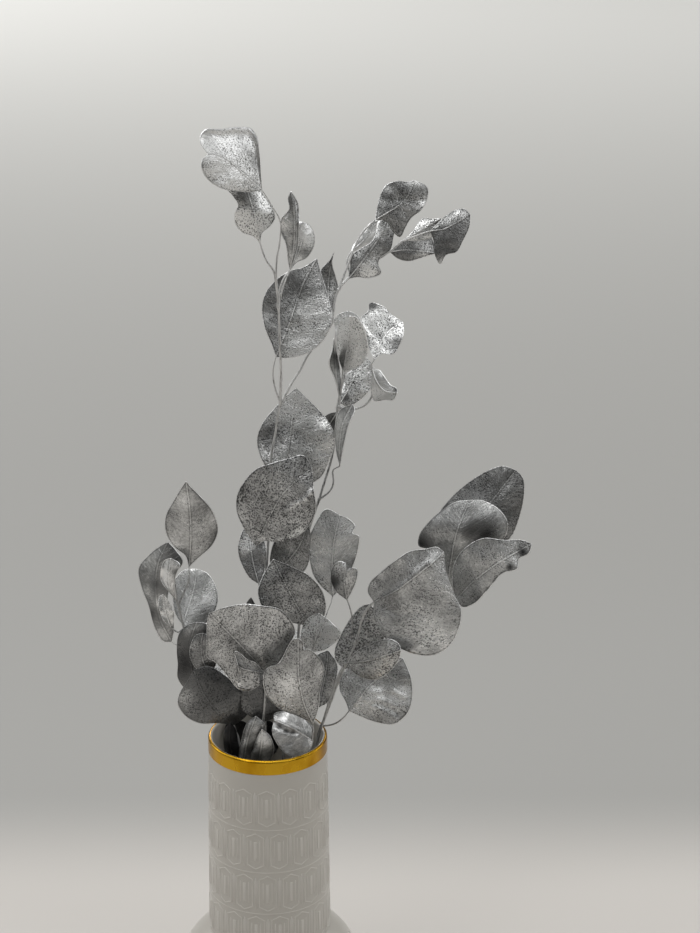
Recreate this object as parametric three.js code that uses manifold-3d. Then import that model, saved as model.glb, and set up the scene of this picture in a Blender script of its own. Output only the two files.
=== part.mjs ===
import * as THREE from 'three';
import { mergeVertices } from 'three/addons/utils/BufferGeometryUtils.js';
import Module from 'manifold-3d';

// Silver dried eucalyptus populus standing in a white porcelain vase with a gold rim.
// Millimetres, +Z up. The origin is the centre of the vase's flat underside, and the front faces -Y.

// Driving dimensions of the vase
const VASE_HEIGHT = 240;
const NECK_RADIUS_TOP = 42;
const NECK_RADIUS_FOOT = 43.8;
const NECK_FOOT_HEIGHT = 87;
const BODY_RADIUS = 66;
const BODY_MIDDLE = 50;
const BASE_RADIUS = 46;
const WALL = 3.2;
const FLOOR = 6;
const VASE_SIDES = 32;

// Driving dimensions of the branches
const MAIN_STEM_RADIUS = 1.4;
const SIDE_STEM_RADIUS = 0.9;
const STALK_RADIUS = 0.75;
const STEM_SIDES = 5;
const STALK_SIDES = 4;
const BLADE_THICKNESS = 0.7;
const STALK_IN_BLADE = 0.1;
const STEPS_PER_SPAN = 1.4;
const SEAT_GAP = 0.3;

// Rows along a blade and columns across each half of it
const ROWS = { large: 7, small: 5 };
const HALF_COLUMNS = 2;

// Silver paint on leaf and stem, and glazed porcelain
const SILVER = { color: 0x9a9b9c, roughness: 0.42, metalness: 0.75 };
const PORCELAIN = { color: 0xd9d5cf, roughness: 0.3, metalness: 0.0 };

// View grid: leaf and stem points are given as [across, down, depth]. Across and down are units of
// a 700 by 933 view from a high viewpoint in front, and depth is the point's Y in millimetres.
const GRID_CENTRE = [350, 466.5];
const GRID_FOCAL = 2800;
const VIEW_PITCH = THREE.MathUtils.degToRad(22);
const RIM_CENTRE_ON_GRID = [267.7, 734];
const RIM_RADIUS_ON_GRID = 59.4;

const viewAhead = new THREE.Vector3(0, Math.cos(VIEW_PITCH), -Math.sin(VIEW_PITCH));
const viewRight = new THREE.Vector3(1, 0, 0);
const viewUp = new THREE.Vector3(0, Math.sin(VIEW_PITCH), Math.cos(VIEW_PITCH));

const rayThrough = (across, down) => viewAhead.clone().multiplyScalar(GRID_FOCAL)
  .addScaledVector(viewRight, across - GRID_CENTRE[0])
  .addScaledVector(viewUp, GRID_CENTRE[1] - down)
  .divideScalar(GRID_FOCAL);

const rimDistance = GRID_FOCAL * NECK_RADIUS_TOP / RIM_RADIUS_ON_GRID;
const eye = new THREE.Vector3(0, 0, VASE_HEIGHT)
  .addScaledVector(rayThrough(...RIM_CENTRE_ON_GRID), -rimDistance);

// Point of space seen at a grid point, at a given depth
function seen([across, down, depth]) {
  const ray = rayThrough(across, down);
  return ray.multiplyScalar((depth - eye.y) / ray.y).add(eye);
}

const wasm = await Module();
wasm.setup();

// Closed triangle mesh turned into a solid
function solidOf(geometry) {
  geometry.deleteAttribute('normal');
  geometry.deleteAttribute('uv');
  const merged = mergeVertices(geometry, 1e-4);
  return new wasm.Manifold(new wasm.Mesh({
    numProp: 3,
    vertProperties: new Float32Array(merged.attributes.position.array),
    triVerts: new Uint32Array(merged.index.array),
  }));
}

// Solid turned back into a mesh geometry
function geometryOf(solid) {
  const mesh = solid.getMesh();
  const geometry = new THREE.BufferGeometry();
  geometry.setAttribute('position', new THREE.BufferAttribute(new Float32Array(mesh.vertProperties), 3));
  geometry.setIndex(new THREE.BufferAttribute(new Uint32Array(mesh.triVerts), 1));
  geometry.computeVertexNormals();
  return geometry;
}

const smoothCurve = (points) => new THREE.CatmullRomCurve3(points, false, 'centripetal');
const twigSteps = (points) => Math.round(STEPS_PER_SPAN * (points.length - 1));

// Point of the stems that is nearest to a given point
function nearestOn(stems, point) {
  const candidates = stems.flatMap((points) => {
    const line = smoothCurve(points).getSpacedPoints(twigSteps(points));
    return line.slice(1).map((end, i) =>
      new THREE.Line3(line[i], end).closestPointToPoint(point, true, new THREE.Vector3()));
  });
  return candidates.reduce((best, next) => (next.distanceTo(point) < best.distanceTo(point) ? next : best));
}

// Round twig of even thickness through a list of space points
function twig(points, radius, sides) {
  const corners = Array.from({ length: sides }, (_, i) => {
    const angle = 2 * Math.PI * i / sides;
    return new THREE.Vector2(radius * Math.cos(angle), radius * Math.sin(angle));
  });
  return new THREE.ExtrudeGeometry(new THREE.Shape(corners), {
    extrudePath: smoothCurve(points),
    steps: twigSteps(points),
    bevelEnabled: false,
  });
}

// Points across a blade: from the left edge over the midrib to the right edge, for each row.
// lean holds how far the left and the right edge lie behind the midrib at the widest place.
function bladeRows({ midrib, left, right, lean }, rows, place) {
  const base = midrib[0];
  const tip = midrib[midrib.length - 1];
  const flat = ([across, down]) => new THREE.Vector3(across, down, 0);
  const spine = smoothCurve(midrib.map((p) => new THREE.Vector3(...p))).getSpacedPoints(rows);
  const edges = [left, right].map((side) =>
    smoothCurve([base, ...side, tip].map(flat)).getSpacedPoints(rows));
  const width = (side, row) => Math.hypot(
    edges[side][row].x - spine[row].x, edges[side][row].y - spine[row].y);
  const widest = [0, 1].map((side) => Math.max(...spine.map((_, row) => width(side, row))));
  const tilt = (lean[1] - lean[0]) / 2;
  const cup = (lean[1] + lean[0]) / 2;
  return spine.map((middle, row) => {
    if (row === 0 || row === rows) return [place([middle.x, middle.y, middle.z])];
    return Array.from({ length: 2 * HALF_COLUMNS + 1 }, (_, column) => {
      const across = (column - HALF_COLUMNS) / HALF_COLUMNS;
      const side = across < 0 ? 0 : 1;
      const share = Math.abs(across);
      const reach = width(side, row) / widest[side];
      return place([
        THREE.MathUtils.lerp(middle.x, edges[side][row].x, share),
        THREE.MathUtils.lerp(middle.y, edges[side][row].y, share),
        middle.z + reach * (tilt * across + cup * across * across),
      ]);
    });
  });
}

// Thin closed blade with the same triangles on both faces
function blade(leaf, place) {
  const rows = leaf.small ? ROWS.small : ROWS.large;
  const sheet = bladeRows(leaf, rows, place);
  const last = 2 * HALF_COLUMNS;
  const at = (row, column) => sheet[row][sheet[row].length === 1 ? 0 : THREE.MathUtils.clamp(column, 0, last)];
  const normalAt = (row, column) => {
    const along = at(Math.min(row + 1, rows), column).clone().sub(at(Math.max(row - 1, 0), column));
    const over = at(Math.min(Math.max(row, 1), rows - 1), column + 1).clone()
      .sub(at(Math.min(Math.max(row, 1), rows - 1), column - 1));
    return over.cross(along).normalize();
  };
  const positions = [];
  const number = [[], []];
  [0.5, -0.5].forEach((offset, face) => {
    sheet.forEach((line, row) => {
      number[face].push(line.map((point, column) => {
        const normal = normalAt(row, line.length === 1 ? HALF_COLUMNS : column);
        positions.push(...point.clone().addScaledVector(normal, offset * BLADE_THICKNESS));
        return positions.length / 3 - 1;
      }));
    });
  });
  const index = [];
  const vertex = (face, row, column) => number[face][row][number[face][row].length === 1 ? 0 : column];
  const triangle = (a, b, c) => { if (a !== b && b !== c && c !== a) index.push(a, b, c); };
  const quad = (a, b, c, d) => { triangle(a, b, c); triangle(a, c, d); };
  for (let row = 0; row < rows; row++) {
    for (let column = 0; column < last; column++) {
      quad(vertex(0, row, column), vertex(0, row, column + 1),
        vertex(0, row + 1, column + 1), vertex(0, row + 1, column));
      const back = [vertex(1, row, column), vertex(1, row, column + 1),
        vertex(1, row + 1, column + 1), vertex(1, row + 1, column)];
      triangle(back[0], back[2], back[1]);
      triangle(back[0], back[3], back[2]);
    }
    quad(vertex(0, row, 0), vertex(0, row + 1, 0), vertex(1, row + 1, 0), vertex(1, row, 0));
    quad(vertex(0, row, last), vertex(1, row, last), vertex(1, row + 1, last), vertex(0, row + 1, last));
  }
  const geometry = new THREE.BufferGeometry();
  geometry.setAttribute('position', new THREE.Float32BufferAttribute(positions, 3));
  geometry.setIndex(index);
  return geometry;
}

// Leaf blade with its stalk, which starts in the middle of the nearest stem and runs a little way
// into the blade as its rib
function leafSolid(leaf, place, stems) {
  const [root, ...bends] = leaf.stalk.map(place);
  const rib = smoothCurve(leaf.midrib.map(place));
  const stalk = twig(
    [nearestOn(stems, root), ...bends, rib.getPointAt(0), rib.getPointAt(STALK_IN_BLADE)],
    STALK_RADIUS, STALK_SIDES);
  return solidOf(blade(leaf, place)).add(solidOf(stalk));
}

// Branch: main stem from the vase floor, side stems and leaves, all one body. Its sway is the
// depth that each grid point gains as the branch bends forwards or backwards.
function branch({ foot, stem, side = [], leaves, sway }) {
  const place = ([across, down, depth]) => seen([across, down, depth + sway(across, down)]);
  const stems = [[...foot.map((p) => new THREE.Vector3(...p)), ...stem.map(place)],
    ...side.map((path) => path.map(place))];
  const solids = [
    ...stems.map((points, i) => solidOf(twig(points, i ? SIDE_STEM_RADIUS : MAIN_STEM_RADIUS, STEM_SIDES))),
    ...leaves.map((leaf) => leafSolid(leaf, place, stems))];
  return geometryOf(solids.reduce((sum, solid) => sum.add(solid)));
}

// Where the stems stand on the vase floor, and how they rise in the neck
const stemFoot = FLOOR + SEAT_GAP;
const rise = (x, y, ...more) => [[x, y, stemFoot], [x, y, stemFoot + 30], ...more];

// Share of the way up from one grid height to another
const climb = (down, from, to) => THREE.MathUtils.clamp((from - down) / (from - to), 0, 1);

// Tall branch: forks above the middle into a left and a right crown
const tallBranch = {
  foot: rise(-4, 9, [-3.5, 8, 150]),
  sway: (across, down) => 0.45 * climb(down, 430, 200) * (across - 292),
  stem: [[265, 722, 6], [264, 680, 7], [263, 620, 9], [267, 562, 10], [268, 544, 10], [271, 500, 11],
    [272, 450, 11], [275, 436, 11], [278, 415, 10.5], [281, 400, 10]],
  side: [
    [[280.5, 405, 10], [281, 370, 7], [280, 348, 5], [278.6, 310, 4], [276.5, 286, 4], [275.5, 274, 4]],
    [[280.5, 405, 10], [290, 386, 13], [300, 370, 16], [308, 355, 18], [321, 338, 21], [331.5, 324, 23],
      [333, 314, 24], [336, 296, 25], [340, 286, 25], [349, 262, 25], [354, 249, 25], [360, 236, 24],
      [366, 228, 23]],
    [[338, 290, 25], [345, 281, 28], [358, 271, 33], [374, 261, 35], [389, 252, 32], [402, 241, 29]],
  ],
  leaves: [
    { midrib: [[262, 190, -2], [244, 174, -7], [222, 156, -11], [208, 154, -13]],
      left: [[252, 192], [236, 191], [220, 188], [208, 180], [202, 170], [202, 160]],
      right: [[261, 176], [259, 150], [257, 137], [250, 128], [236, 127], [220, 129], [206, 129], [200, 136],
        [201, 144]],
      lean: [-6, 14], stalk: [[276, 280, 4], [276.5, 262, 4], [280, 240, 3], [280.5, 222, 2], [272, 206, 0]] },
    { midrib: [[260, 243, 9], [256, 220, 8], [250, 200, 11], [243, 180, 15]],
      left: [[253, 236], [242, 232], [235, 222], [235, 213], [238, 205], [233, 196], [227, 188]],
      right: [[262, 233], [270, 226], [275, 217], [271, 206], [264, 196], [255, 184]],
      lean: [7, 6], stalk: [[276, 286, 4], [273.5, 271, 5], [266, 260, 7]] },
    { midrib: [[290, 270, 7], [293, 252, 5], [294.5, 232, 5], [294, 212, 6], [291, 191, 10]],
      left: [[288, 262], [286, 245], [281, 232], [281, 219], [289, 209], [288, 198]],
      right: [[295, 261], [305, 258], [312, 248], [314, 237], [308, 225], [299, 216], [298, 203]],
      lean: [8, 24], stalk: [[278.5, 306, 4], [280, 288, 5], [285, 276, 6]] },
    { midrib: [[276, 357, 9], [286, 332, 13], [294, 310, 17], [304, 282, 22], [317, 258, 26]],
      left: [[272, 345], [265, 328], [262, 308], [266, 292], [277, 279], [290, 271], [304, 267]],
      right: [[283, 358], [300, 356], [316, 348], [328, 333], [332, 316], [329, 300], [323, 280]],
      lean: [10, -8], stalk: [[281, 402, 10], [275, 388, 10], [273, 372, 9]] },
    { small: true, midrib: [[331, 314, 24], [328, 294, 29], [329, 274, 32], [334, 252, 30]],
      left: [[325, 302], [320, 288], [321, 270], [330, 260]],
      right: [[334, 304], [338, 289], [335, 275], [332, 263]],
      lean: [2, 8], stalk: [[332, 320, 23.5]] },
    { midrib: [[375, 220, 21], [390, 211, 19], [402, 203, 18], [410, 191, 19], [414, 180, 22]],
      left: [[377, 208], [380, 196], [386, 185], [397, 181], [407, 182]],
      right: [[387, 221], [393, 232], [400, 237], [405, 228], [411, 218], [421, 210], [427, 199], [427, 187]],
      lean: [6, 4], stalk: [[365, 229, 23]] },
    { midrib: [[348, 279, 25], [360, 264, 24], [372, 248, 25], [382, 232, 27], [386, 219, 30]],
      left: [[350, 268], [351, 256], [360, 249], [371, 242], [376, 232], [378, 222]],
      right: [[357, 277], [369, 278], [381, 273], [378, 264], [381, 257], [390, 250], [393, 238], [394, 227]],
      lean: [3, 6], stalk: [[339, 289, 25], [344, 283, 25]] },
    { midrib: [[390, 252, 33], [404, 250, 36], [420, 251, 38], [437, 253, 41]],
      left: [[397, 244], [412, 238], [429, 236]],
      right: [[397, 258], [408, 261], [423, 257]],
      lean: [8, 3], stalk: [[381, 256, 34]] },
    { small: true, midrib: [[404, 240, 30], [416, 233, 32], [428, 226, 33], [441, 218, 32]],
      left: [[413, 231], [422, 219], [432, 219]],
      right: [[418, 241], [431, 238], [439, 228]],
      lean: [4, 4], stalk: [[396, 246, 31]] },
    { midrib: [[430, 231, 27], [444, 229, 23], [458, 222, 21], [470, 214, 22]],
      left: [[437, 224], [447, 215], [456, 210], [464, 209]],
      right: [[434, 242], [434, 252], [440, 264], [446, 255], [456, 252], [463, 240], [469, 227]],
      lean: [4, 6], stalk: [[401, 241, 29], [418, 235, 28]] },
    { midrib: [[284, 480, 17], [288, 452, 24], [292, 420, 32], [296, 388, 38]],
      left: [[270, 472], [261, 458], [257, 440], [262, 424], [272, 411], [284, 398]],
      right: [[300, 486], [320, 478], [331, 456], [335, 438], [328, 421], [312, 403]],
      lean: [4, 1], stalk: [[271, 480, 11], [276, 484, 14]] },
    { midrib: [[256, 546, 3], [268, 520, -8], [282, 495, -16], [297, 480, -18], [312, 468, -14]],
      left: [[245, 530], [237, 512], [237, 496], [244, 482], [256, 469], [272, 463], [290, 458], [303, 455]],
      right: [[264, 541], [280, 542], [298, 536], [311, 523], [316, 508], [314, 492], [313, 480]],
      lean: [8, -4], stalk: [[266, 570, 10], [263, 556, 7]] },
    { midrib: [[259, 584, 8], [254, 566, 14], [251, 548, 20], [250, 528, 26]],
      left: [[250, 578], [241, 562], [238, 548], [240, 538], [244, 529]],
      right: [[263, 576], [266, 562], [266, 546], [260, 532]],
      lean: [6, -4], stalk: [[264, 600, 9.5], [261, 592, 9]] },
    { midrib: [[271, 574, 11], [286, 562, 12], [300, 544, 12], [308, 520, 12]],
      left: [[270, 556], [276, 538], [292, 522]],
      right: [[282, 576], [296, 576], [305, 570], [310, 556], [311, 538]],
      lean: [-6, 12], stalk: [[265, 590, 9.5], [267, 580, 10]] },
    { small: true, midrib: [[260, 650, 4], [255, 625, -2], [251, 597, -5]],
      left: [[248, 638], [243, 618], [246, 604]],
      right: [[264, 636], [262, 616], [255, 604]],
      lean: [4, 2], stalk: [[264, 668, 7]] },
    { midrib: [[273, 528, 15], [283, 522, 40], [292, 510, 62]],
      left: [[266, 518], [268, 504], [280, 496]],
      right: [[284, 536], [304, 528], [306, 512]],
      lean: [6, -4], stalk: [[269, 536, 10.5]] },
    { midrib: [[276, 490, 16], [284, 472, 42], [290, 452, 64]],
      left: [[268, 482], [266, 464], [274, 446]],
      right: [[288, 488], [306, 474], [306, 456]],
      lean: [4, -4], stalk: [[271, 498, 11]] },
    { midrib: [[314, 338, 26], [304, 328, 42], [294, 314, 58]],
      left: [[304, 342], [290, 334], [284, 318]],
      right: [[320, 328], [318, 312], [306, 302]],
      lean: [5, 5], stalk: [[319, 340, 21]] },
  ],
};

// Middle branch: thin stem behind the tall one, with a bunch of narrow leaves halfway up
const middleBranch = {
  foot: rise(7, 13, [9, 15, 150]),
  sway: (across, down) => climb(down, 600, 400) * (30 - 0.3 * (across - 345)),
  stem: [[285, 722, 16], [290, 690, 17], [297, 650, 19], [300, 600, 22], [300, 565, 24], [306, 540, 25],
    [314, 514, 25], [319, 500, 25], [322, 490, 25], [328, 471, 26], [331, 461, 26], [335, 440, 27],
    [337.5, 410, 27.5], [339.5, 398, 27]],
  side: [[[338, 406, 27.5], [345, 409, 28], [354, 409, 29], [365, 405, 31], [372, 396, 32], [375, 385, 32],
    [373, 371, 31]]],
  leaves: [
    { midrib: [[343, 371, 25], [347, 350, 18], [349, 332, 10], [350, 316, 4]],
      left: [[339, 358], [337, 340], [339, 325], [344, 317]],
      right: [[353, 369], [363, 363], [368, 350], [366, 336], [361, 323], [356, 317]],
      lean: [8, -4], stalk: [[339.5, 402, 27], [341, 388, 26]] },
    { midrib: [[345, 374, 31], [347, 350, 34], [348, 330, 38], [347, 311, 42]],
      left: [[338, 358], [335, 340], [335, 328], [334, 320], [339, 314]],
      right: [[356, 366], [362, 350], [363, 334], [361, 320], [354, 313]],
      lean: [-3, 5], stalk: [[340, 398, 27.5], [342, 386, 29]] },
    { midrib: [[374, 360, 31], [380, 345, 38], [388, 332, 46], [403, 322, 54]],
      left: [[369, 347], [366, 332], [361, 318], [368, 311], [370, 303], [383, 306], [391, 314]],
      right: [[382, 354], [393, 354], [400, 344], [404, 332]],
      lean: [10, -6], stalk: [[373, 372, 31.5], [371.5, 365, 31]] },
    { midrib: [[340, 403, 29], [348, 390, 38], [356, 372, 48], [362, 354, 56]],
      left: [[341, 392], [341, 378], [347, 362]],
      right: [[348, 407], [360, 400], [369, 391], [375, 378], [371, 362]],
      lean: [2, 5], stalk: [[338.5, 408, 27.5]] },
    { small: true, midrib: [[373, 368, 31], [379, 379, 24], [386, 389, 17], [395, 395, 10]],
      left: [[371, 380], [374, 393], [384, 400]],
      right: [[381, 370], [388, 382], [397, 388]],
      lean: [4, 5], stalk: [[373.8, 378, 32]] },
    { small: true, midrib: [[339.5, 400, 26], [337, 384, 22], [335, 362, 18], [334, 338, 17]],
      left: [[335, 380], [329, 364], [332, 350]],
      right: [[341, 384], [339, 364], [336, 350]],
      lean: [-12, 10], stalk: [[338.5, 408, 27.5]] },
    { midrib: [[340, 466, 24], [340, 444, 14], [343, 424, 8], [353, 404, 9]],
      left: [[337, 455], [335, 438], [335.5, 424], [340, 410]],
      right: [[342, 456], [345, 440], [349, 424], [355, 410]],
      lean: [14, -8], stalk: [[320, 499, 25], [330, 491, 25], [333.5, 483, 25], [333, 470, 25]] },
    { midrib: [[337.5, 412, 29], [330, 424, 40], [322, 440, 50], [314, 456, 58]],
      left: [[331, 413], [324, 417], [314, 428], [310, 444]],
      right: [[336, 426], [333, 442], [325, 456]],
      lean: [4, 2], stalk: [[337.5, 404, 27.5]] },
    { midrib: [[309, 626, 8], [297, 606, -4], [285, 584, -14], [273, 559, -20]],
      left: [[290, 622], [266, 612], [258, 594], [261, 580], [267, 568]],
      right: [[322, 620], [326, 606], [321, 589], [308, 575], [290, 566]],
      lean: [-8, 8], stalk: [[298, 656, 18.5], [304, 640, 13]] },
    { midrib: [[333, 597, 6], [332, 572, 2], [334, 542, -1], [340, 515, 0]],
      left: [[321, 586], [313, 574], [309, 554], [310, 536], [317, 520], [326, 509]],
      right: [[343, 585], [353, 566], [359, 546], [358, 532], [353, 526], [349, 520]],
      lean: [2, -8], stalk: [[296, 664, 18], [305, 662, 2], [314, 646, -8], [321, 629, -7], [327, 613, -1]] },
    { small: true, midrib: [[312, 652, 0], [316, 634, -2], [319, 613, -1]],
      left: [[303, 645], [301, 632], [308, 618]],
      right: [[324, 650], [335, 643], [341, 634], [330, 621]],
      lean: [4, -6], stalk: [[296, 668, 17.5], [304, 664, 8]] },
    { midrib: [[318, 708, 14], [322, 690, 19], [326, 670, 24], [328, 650, 28]],
      left: [[311, 696], [309, 676], [316, 656]],
      right: [[328, 702], [335, 684], [337, 664]],
      lean: [3, 3], stalk: [[290, 694, 17], [304, 704, 15]] },
    { midrib: [[301, 596, 24], [296, 590, 48], [290, 578, 72]],
      left: [[290, 596], [274, 590], [276, 572]],
      right: [[310, 600], [316, 590], [304, 572]],
      lean: [6, 0], stalk: [[300, 606, 22]] },
    { midrib: [[296, 652, 21], [290, 648, 44], [280, 640, 66]],
      left: [[282, 650], [264, 642], [264, 626]],
      right: [[302, 658], [306, 646], [294, 630]],
      lean: [0, 8], stalk: [[297, 662, 18.5]] },
  ],
};

// Right branch: leans out to the right and ends in four broad leaves
const rightBranch = {
  foot: rise(18, 2, [25, 3, 140]),
  sway: (across) => -0.33 * Math.max(0, across - 325),
  stem: [[316, 747, 4], [319, 733, 5], [323.5, 721, 5], [328, 709, 5], [333, 695, 5], [340, 677, 4], [347, 662, 3],
    [352, 652, 2], [358, 636, 0], [361, 622, -2], [365, 612, -3], [374, 602, -4], [392, 592, 1],
    [415, 583, 6], [438, 578, 9]],
  leaves: [
    { midrib: [[374, 602, -5], [397, 590, -12], [416, 576, -16], [431, 564, -16], [444, 552, -12]],
      left: [[368, 592], [370, 583], [382, 571], [396, 560], [410, 551], [425, 549], [437, 547]],
      right: [[374, 616], [383, 636], [398, 647], [415, 654], [434, 655], [450, 645], [459, 628], [461, 610],
        [456, 590], [447, 568]],
      lean: [8, -12], stalk: [[367, 608, -3.5]] },
    { midrib: [[446, 598, 6], [450, 568, 0], [456, 535, -2], [470, 500, 8]],
      left: [[440, 584], [437, 564], [430, 549], [419, 546], [420, 534], [430, 521], [444, 509], [456, 502]],
      right: [[458, 592], [472, 566], [488, 546], [504, 538], [508, 524], [500, 510], [484, 501]],
      lean: [10, 7], stalk: [[436, 579, 8.5], [442, 590, 7.5]] },
    { midrib: [[453, 548, 13], [474, 522, 20], [496, 496, 30], [516, 470, 40]],
      left: [[444, 530], [440, 513], [450, 499], [468, 483], [487, 471], [503, 466]],
      right: [[470, 550], [494, 546], [510, 538], [519, 518], [524, 495], [523, 478]],
      lean: [4, 6], stalk: [[436, 579, 9], [446, 564, 11]] },
    { midrib: [[456, 600, 0], [474, 581, -10], [500, 562, -16], [532, 544, -14]],
      left: [[453, 586], [453, 570], [458, 556], [470, 544], [484, 538], [504, 540], [522, 540]],
      right: [[463, 607], [475, 603], [490, 587], [503, 573], [517, 569], [519, 559], [529, 553]],
      lean: [8, -4], stalk: [[437, 578, 8.5], [448, 590, 4]] },
    { midrib: [[344, 669, 7], [352, 650, 6], [360, 627, 4], [370, 604, 2]],
      left: [[336, 660], [335, 650], [344, 629], [353, 615], [362, 606]],
      right: [[360, 666], [376, 654], [384, 638], [381, 625], [377, 612]],
      lean: [9, -3], stalk: [[338, 682, 4.5]] },
    { midrib: [[348, 663, 1], [366, 661, -12], [384, 656, -22], [401, 650, -28]],
      left: [[354, 653], [368, 645], [380, 640], [391, 639], [399, 644]],
      right: [[352, 671], [364, 678], [378, 679], [392, 669], [399, 659]],
      lean: [3, 4], stalk: [[346, 666, 3]] },
    { midrib: [[349, 711, 3], [366, 690, 8], [384, 673, 14], [403, 658, 20]],
      left: [[346, 702], [340, 690], [341, 677], [350, 666], [372, 656]],
      right: [[360, 716], [376, 722], [394, 724], [407, 714], [412, 699], [411, 678]],
      lean: [10, -6], stalk: [[325, 727, 5], [334, 724, 4], [343, 718, 3]] },
    { small: true, midrib: [[347, 600, -6], [345, 588, -8], [344, 577, -9], [347, 570, -8]],
      left: [[337, 592], [331, 580], [332, 568], [339, 561], [345, 563]],
      right: [[352, 591], [357, 578], [357, 569], [351, 568]],
      lean: [3, 3],
      stalk: [[332, 699, 5], [337, 684, 9], [345, 662, 11], [351, 640, 8], [352, 618, 0], [350, 608, -4]] },
    { midrib: [[414, 588, 9], [414, 602, 32], [418, 612, 56]],
      left: [[402, 592], [394, 606], [404, 622]],
      right: [[428, 590], [438, 604], [434, 620]],
      lean: [4, -4], stalk: [[408, 585, 5]] },
    { midrib: [[354, 650, 8], [364, 660, 38], [376, 672, 60]],
      left: [[352, 664], [360, 684], [374, 694]],
      right: [[368, 650], [386, 656], [394, 672]],
      lean: [3, -5], stalk: [[350, 656, 2]] },
  ],
};

// Left branch: short, with two round leaves on long stalks and dark folded ones below
const leftBranch = {
  foot: rise(-17, -4, [-21, -5, 140]),
  sway: (across) => 0.35 * Math.max(0, 238 - across),
  stem: [[239, 744, -5], [234, 728, -4], [226, 706, -3], [212, 684, 0], [200, 667, 2], [190, 647, 2],
    [184, 628, 1], [180, 612, 0], [177, 598, 0], [175, 584, 0]],
  leaves: [
    { midrib: [[189, 567, -3], [191, 540, -14], [190, 510, -22], [186, 481, -26]],
      left: [[186, 556], [174, 546], [166, 532], [166, 516], [173, 502], [180, 490]],
      right: [[198, 558], [212, 545], [218, 530], [213, 512], [202, 498], [191, 487]],
      lean: [4, 5], stalk: [[179, 604, 0], [185, 590, -1], [189, 580, -2]] },
    { midrib: [[183, 626, 5], [188, 608, 14], [194, 588, 24], [197, 569, 32]],
      left: [[175, 612], [173, 594], [175, 580], [184, 570]],
      right: [[198, 628], [212, 616], [218, 600], [215, 584], [207, 573]],
      lean: [3, 4], stalk: [[186.5, 636, 1.5]] },
    { midrib: [[172, 642, 5], [160, 618, 2], [156, 590, -1], [158, 565, -2], [168, 542, -1]],
      left: [[163, 641], [155, 628], [149, 606], [142, 588], [139, 568], [149, 555], [159, 547]],
      right: [[174, 626], [168, 605], [170, 585], [176, 573], [183, 562], [175, 549]],
      lean: [16, -5], stalk: [[190, 648, 2], [180, 646, 4]] },
    { small: true, midrib: [[176, 600, -6], [170, 588, -12], [169, 574, -14], [171, 558, -12]],
      left: [[168, 591], [162, 580], [162, 570], [166, 561]],
      right: [[175, 588], [174, 574], [174, 564]],
      lean: [6, -2], stalk: [[179, 609, 0]] },
    { small: true, midrib: [[172, 628, -3], [166, 612, -8], [163, 594, -8]],
      left: [[164, 621], [159, 608], [159, 598]],
      right: [[174, 614], [168, 600]],
      lean: [-4, 3], stalk: [[184, 629, 1], [178, 632, -1]] },
    { midrib: [[200, 694, -3], [192, 668, -8], [190, 645, -9], [197, 622, -6]],
      left: [[186, 689], [178, 678], [178, 664], [177, 650], [179, 634], [187, 625]],
      right: [[212, 684], [214, 658], [212, 636], [207, 624]],
      lean: [4, 3], stalk: [[214, 686, 0], [207, 694, 0]] },
    { midrib: [[210, 676, -10], [203, 660, -15], [201, 646, -16], [203, 633, -15]],
      left: [[196, 668], [190, 656], [191, 644], [196, 635]],
      right: [[216, 664], [216, 648], [210, 636]],
      lean: [3, 3], stalk: [[216, 690, -1], [213, 684, -4]] },
    { midrib: [[234, 725, -9], [218, 712, -17], [204, 694, -21], [194, 670, -20]],
      left: [[218, 723], [200, 723], [186, 716], [178, 704], [180, 693], [187, 682]],
      right: [[246, 716], [251, 704], [242, 692], [226, 676], [208, 666]],
      lean: [4, 8], stalk: [[237, 738, -5]] },
    { midrib: [[214, 682, 3], [218, 672, 22], [226, 660, 44]],
      left: [[204, 680], [202, 666], [214, 650]],
      right: [[224, 688], [238, 676], [238, 656]],
      lean: [4, 0], stalk: [[213, 686, 0]] },
  ],
};

// Front branch: one large leaf over the rim, a dark one below it and folded leaves in the mouth
const frontBranch = {
  foot: rise(-1, -14, [-3, -18, 150]),
  sway: (across) => 0.25 * Math.max(0, 262 - across),
  stem: [[262, 745, -20], [263, 724, -20], [265, 700, -21], [266, 684, -23]],
  leaves: [
    { midrib: [[266, 671, -26], [248, 653, -36], [230, 634, -44], [212, 614, -50]],
      left: [[252, 690], [240, 690], [228, 678], [214, 661], [207, 652], [207, 636], [209, 622]],
      right: [[279, 662], [287, 648], [295, 630], [281, 610], [264, 606], [244, 604], [226, 607]],
      lean: [8, 8], stalk: [[266, 690, -22]] },
    { midrib: [[263, 722, -17], [264, 705, -17], [266, 688, -17], [269, 668, -18]],
      left: [[252, 714], [246, 700], [252, 684]],
      right: [[276, 716], [283, 700], [280, 682]],
      lean: [0, 10], stalk: [[262.5, 736, -20]] },
    { small: true, midrib: [[244, 766, -25], [246, 748, -27], [250, 732, -27], [256, 716, -24]],
      left: [[237, 760], [240, 742], [247, 724]],
      right: [[252, 758], [254, 740], [261, 722]],
      lean: [-3, 7], stalk: [[262, 762, -20.5], [252, 772, -23]] },
    { small: true, midrib: [[258, 768, -26], [260, 754, -29], [262, 742, -30], [262, 729, -29]],
      left: [[249, 760], [252, 748], [257, 736]],
      right: [[267, 760], [271, 747], [268, 736]],
      lean: [5, 4], stalk: [[262.3, 752, -20.5], [260, 766, -22]] },
    { small: true, midrib: [[236, 768, -22], [232, 752, -26], [230, 738, -26], [231, 722, -24]],
      left: [[228, 760], [224, 746], [225, 730]],
      right: [[242, 758], [238, 742], [236, 730]],
      lean: [3, 4], stalk: [[262, 756, -20], [248, 770, -18]] },
  ],
};

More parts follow.
